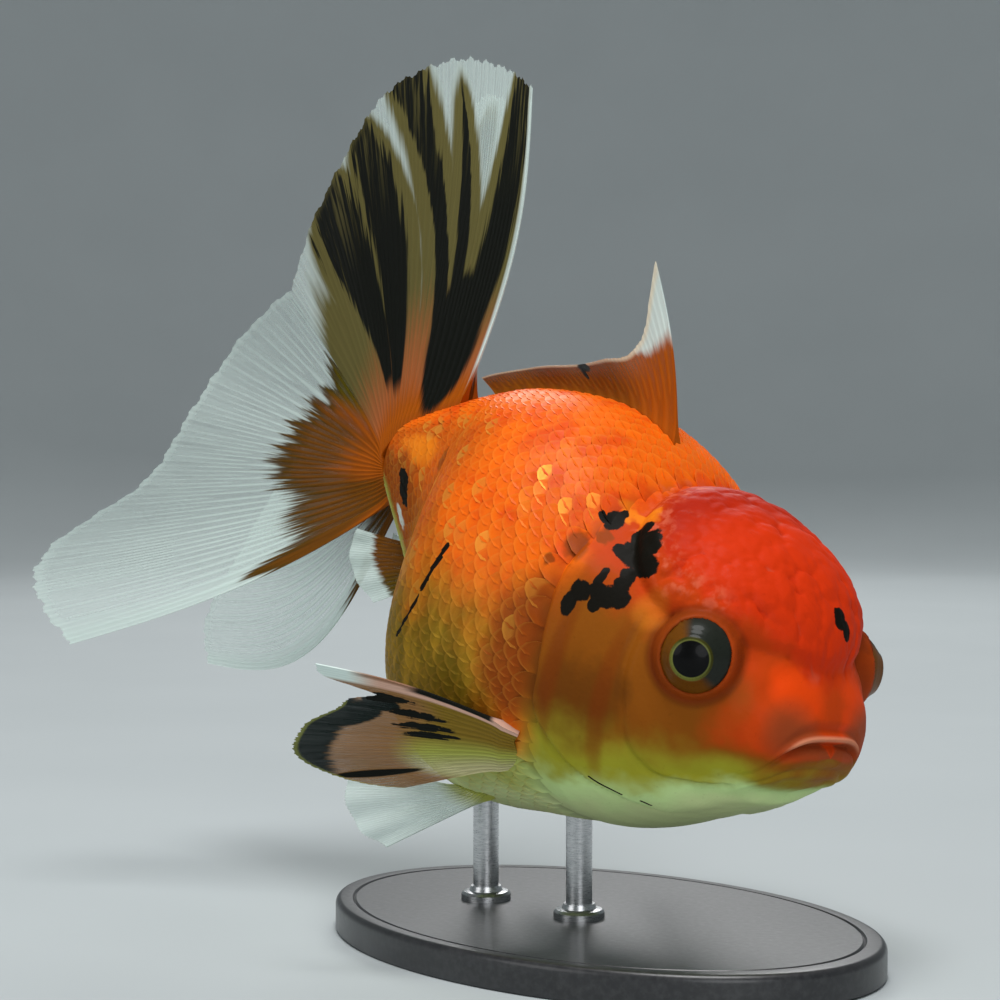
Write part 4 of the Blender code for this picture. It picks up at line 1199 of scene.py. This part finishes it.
def build_stand():
    black, steel = stand_black(), rod_steel()
    length, width, thick = STAND_BASE
    reach, edge = length / 2, STAND_EDGE
    corner = [(reach - edge + edge * math.sin(a), thick - edge + edge * math.cos(a))
              for a in np.linspace(math.pi / 2, 0.0, 7)]
    outline = [(0.0, 0.0), (reach - 0.3, 0.0), (reach, 0.3), *corner]
    outline += [(reach - inset, thick - sunk) for inset, sunk in STAND_GROOVE]
    base = turned_profile("stand_plate", [*outline, (0.0, thick)], black, stretch=(1.0, width / length),
                          segments=192)
    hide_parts("stand_base")
    for which, s in zip(("front", "rear"), ROD_AT_S):
        belly = pose(body_point(s, 180.0)) / MM
        at, top = belly[:2], belly[2] + ROD_REACH
        post = [(0.0, thick - 1.0), (ROD_RADIUS, thick - 1.0), (ROD_RADIUS, top - 0.4),
                (ROD_RADIUS - 0.4, top), (0.0, top)]
        rod = turned_profile("stand_post_" + which, post, steel, centre=at, segments=48)
        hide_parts("stand_rod_" + which)
        collar = [(radius, thick + high) for radius, high in STAND_COLLAR]
        turned_profile("stand_collar_" + which, collar, steel, centre=at, segments=64)


# ---- the room, in metres ----------------------------------------------------------------
ROOM_SIDES = 96
ROOM_FLAT = 0.75         # radius of the flat floor
ROOM_SWEEP = 0.45        # radius of its sweep into the wall
ROOM_WALL = 1.1
FLOOR_DROP = 0.00002     # keeps the floor just under the stand's own underside
LIGHT_TARGET = (0.0, 0.0, 0.055)
WHITE_LIGHT = (1.0, 1.0, 1.0)
COOL_LIGHT = (0.96, 0.98, 1.0)
LIGHTS = (               # name, place, power, diameter, colour
    ("overhead_soft", (0.12, -0.14, 0.75), 4.6, 0.42, WHITE_LIGHT),
    ("front_fill", (0.62, -0.45, 0.26), 1.4, 0.45, COOL_LIGHT),
    ("side_fill", (-0.20, -0.75, 0.30), 0.9, 0.45, WHITE_LIGHT),
    ("back_rim", (-0.45, 0.50, 0.45), 1.8, 0.35, WHITE_LIGHT),
)
AMBIENT = ((0.80, 0.84, 0.86, 1.0), 0.22)      # colour, strength
CAMERA_LENS = 88.85
CAMERA_AT = (0.20749, -0.21544, 0.06487)
CAMERA_LOOK = (-0.72170, 0.69133, -0.03490)


def build_room():
    """A pale round studio floor that sweeps up into its wall all round."""
    paper = Finish("studio_paper", Roughness=0.9, Specular_IOR_Level=0.2)
    paper.set("Base Color", paper.mix((0.46, 0.50, 0.51), (0.50, 0.54, 0.55), paper.noise(60.0, 2.0)))
    bend = np.linspace(0.1, math.pi / 2, 16)
    sweep = [(ROOM_FLAT + ROOM_SWEEP * math.sin(a), ROOM_SWEEP * (1 - math.cos(a))) for a in bend]
    profile = [(ROOM_FLAT, 0.0), *sweep, (ROOM_FLAT + ROOM_SWEEP, ROOM_WALL)]
    points = turned_points(profile, ROOM_SIDES)
    points[:, 2] -= FLOOR_DROP
    faces = [tuple(range(ROOM_SIDES)), *grid_quads(len(profile), ROOM_SIDES, wrap=True)]
    mesh = bpy.data.meshes.new("studio_floor")
    mesh.from_pydata(points.tolist(), [], [list(map(int, face)) for face in faces])
    mesh.update()
    mesh.shade_smooth()
    mesh.materials.append(paper.material)
    floor = bpy.data.objects.new("studio_floor", mesh)
    bpy.context.scene.collection.objects.link(floor)


def build_lights():
    for name, at, power, size, colour in LIGHTS:
        lamp = bpy.data.lights.new(name, "AREA")
        lamp.shape = "DISK"
        lamp.size = size
        lamp.energy = power
        lamp.color = colour
        light = bpy.data.objects.new(name, lamp)
        light.location = at
        light.rotation_euler = (Vector(LIGHT_TARGET) - Vector(at)).to_track_quat("-Z", "Y").to_euler()
        bpy.context.scene.collection.objects.link(light)
    world = bpy.data.worlds.new("studio")
    world.use_nodes = True
    background = world.node_tree.nodes["Background"]
    background.inputs["Color"].default_value, background.inputs["Strength"].default_value = AMBIENT
    bpy.context.scene.world = world
    bpy.context.scene.view_settings.view_transform = "Standard"


def build_camera():
    lens = bpy.data.cameras.new("view")
    lens.lens = CAMERA_LENS
    lens.sensor_width = 36.0
    lens.clip_start = 0.01
    camera = bpy.data.objects.new("view", lens)
    camera.location = CAMERA_AT
    camera.rotation_euler = Vector(CAMERA_LOOK).to_track_quat("-Z", "Y").to_euler()
    bpy.context.scene.collection.objects.link(camera)
    bpy.context.scene.camera = camera


# ---- put it together --------------------------------------------------------------------
build_camera()
build_room()
build_lights()
skin = build_skin()
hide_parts("head", "hood", "trunk", "peduncle", "upper_lip", "lower_lip", "gill_cover_right",
            "gill_cover_left")
build_scales()
build_eye("eye_right", -1, eye_finish("eye_near", 0.11, 0.22))
build_eye("eye_left", 1, eye_finish("eye_far", 0.27, 0.09))

clear = fin_finish("clear_fin", clear_picture)
small = fin_finish("anal_web", anal_picture)
paddle = fin_finish("pectoral_web", pectoral_picture)
fin("dorsal_fin", dorsal_root, DORSAL, -1, 1 / 16, fin_finish("dorsal_web", dorsal_picture),
    sink=0.10, wave=0.25, steps=32)
for side_name, side, upper, lower in (("right", -1, TAIL_RIGHT_UPPER, TAIL_RIGHT_LOWER),
                                      ("left", 1, TAIL_LEFT_UPPER, TAIL_LEFT_LOWER)):
    near = side < 0
    streaked = upper_picture(TAIL_STREAKS if near else FAR_STREAKS)
    plain = lower_picture(0.29 if near else 0.13, 0.0 if near else 0.1)
    name = "tail_" + side_name
    fin(name + "_upper", tail_root(side), upper + lower, side, TAIL_PITCH,
        fin_finish(name + "_streaked", streaked), span=(0.0, TAIL_SEAM), steps=72)
    fin(name + "_lower", tail_root(side), upper + lower, side, TAIL_PITCH,
        fin_finish(name + "_plain", plain), span=(TAIL_SEAM, 1.0), steps=72)
for side_name, side, pelvic in (("right", -1, PELVIC_RIGHT), ("left", 1, PELVIC_LEFT)):
    fin("pectoral_fin_" + side_name, side_root(PECTORAL_ROOT, side), PECTORAL, side, 1 / 15, paddle,
        flare=PECTORAL_FLARE, sink=0.09, wave=0.3, notch=(0.140, 0.26, 0.045))
    fin("pelvic_fin_" + side_name, side_root(PELVIC_ROOT, side), pelvic, side, 1 / 10, clear,
        flare=PELVIC_FLARE, sink=0.09, wave=0.3)
    fin("anal_fin_" + side_name, side_root(ANAL_ROOT, side), ANAL, side, 1 / 8, small,
        flare=ANAL_FLARE, sink=0.15, wave=0.15, steps=24)
build_stand()
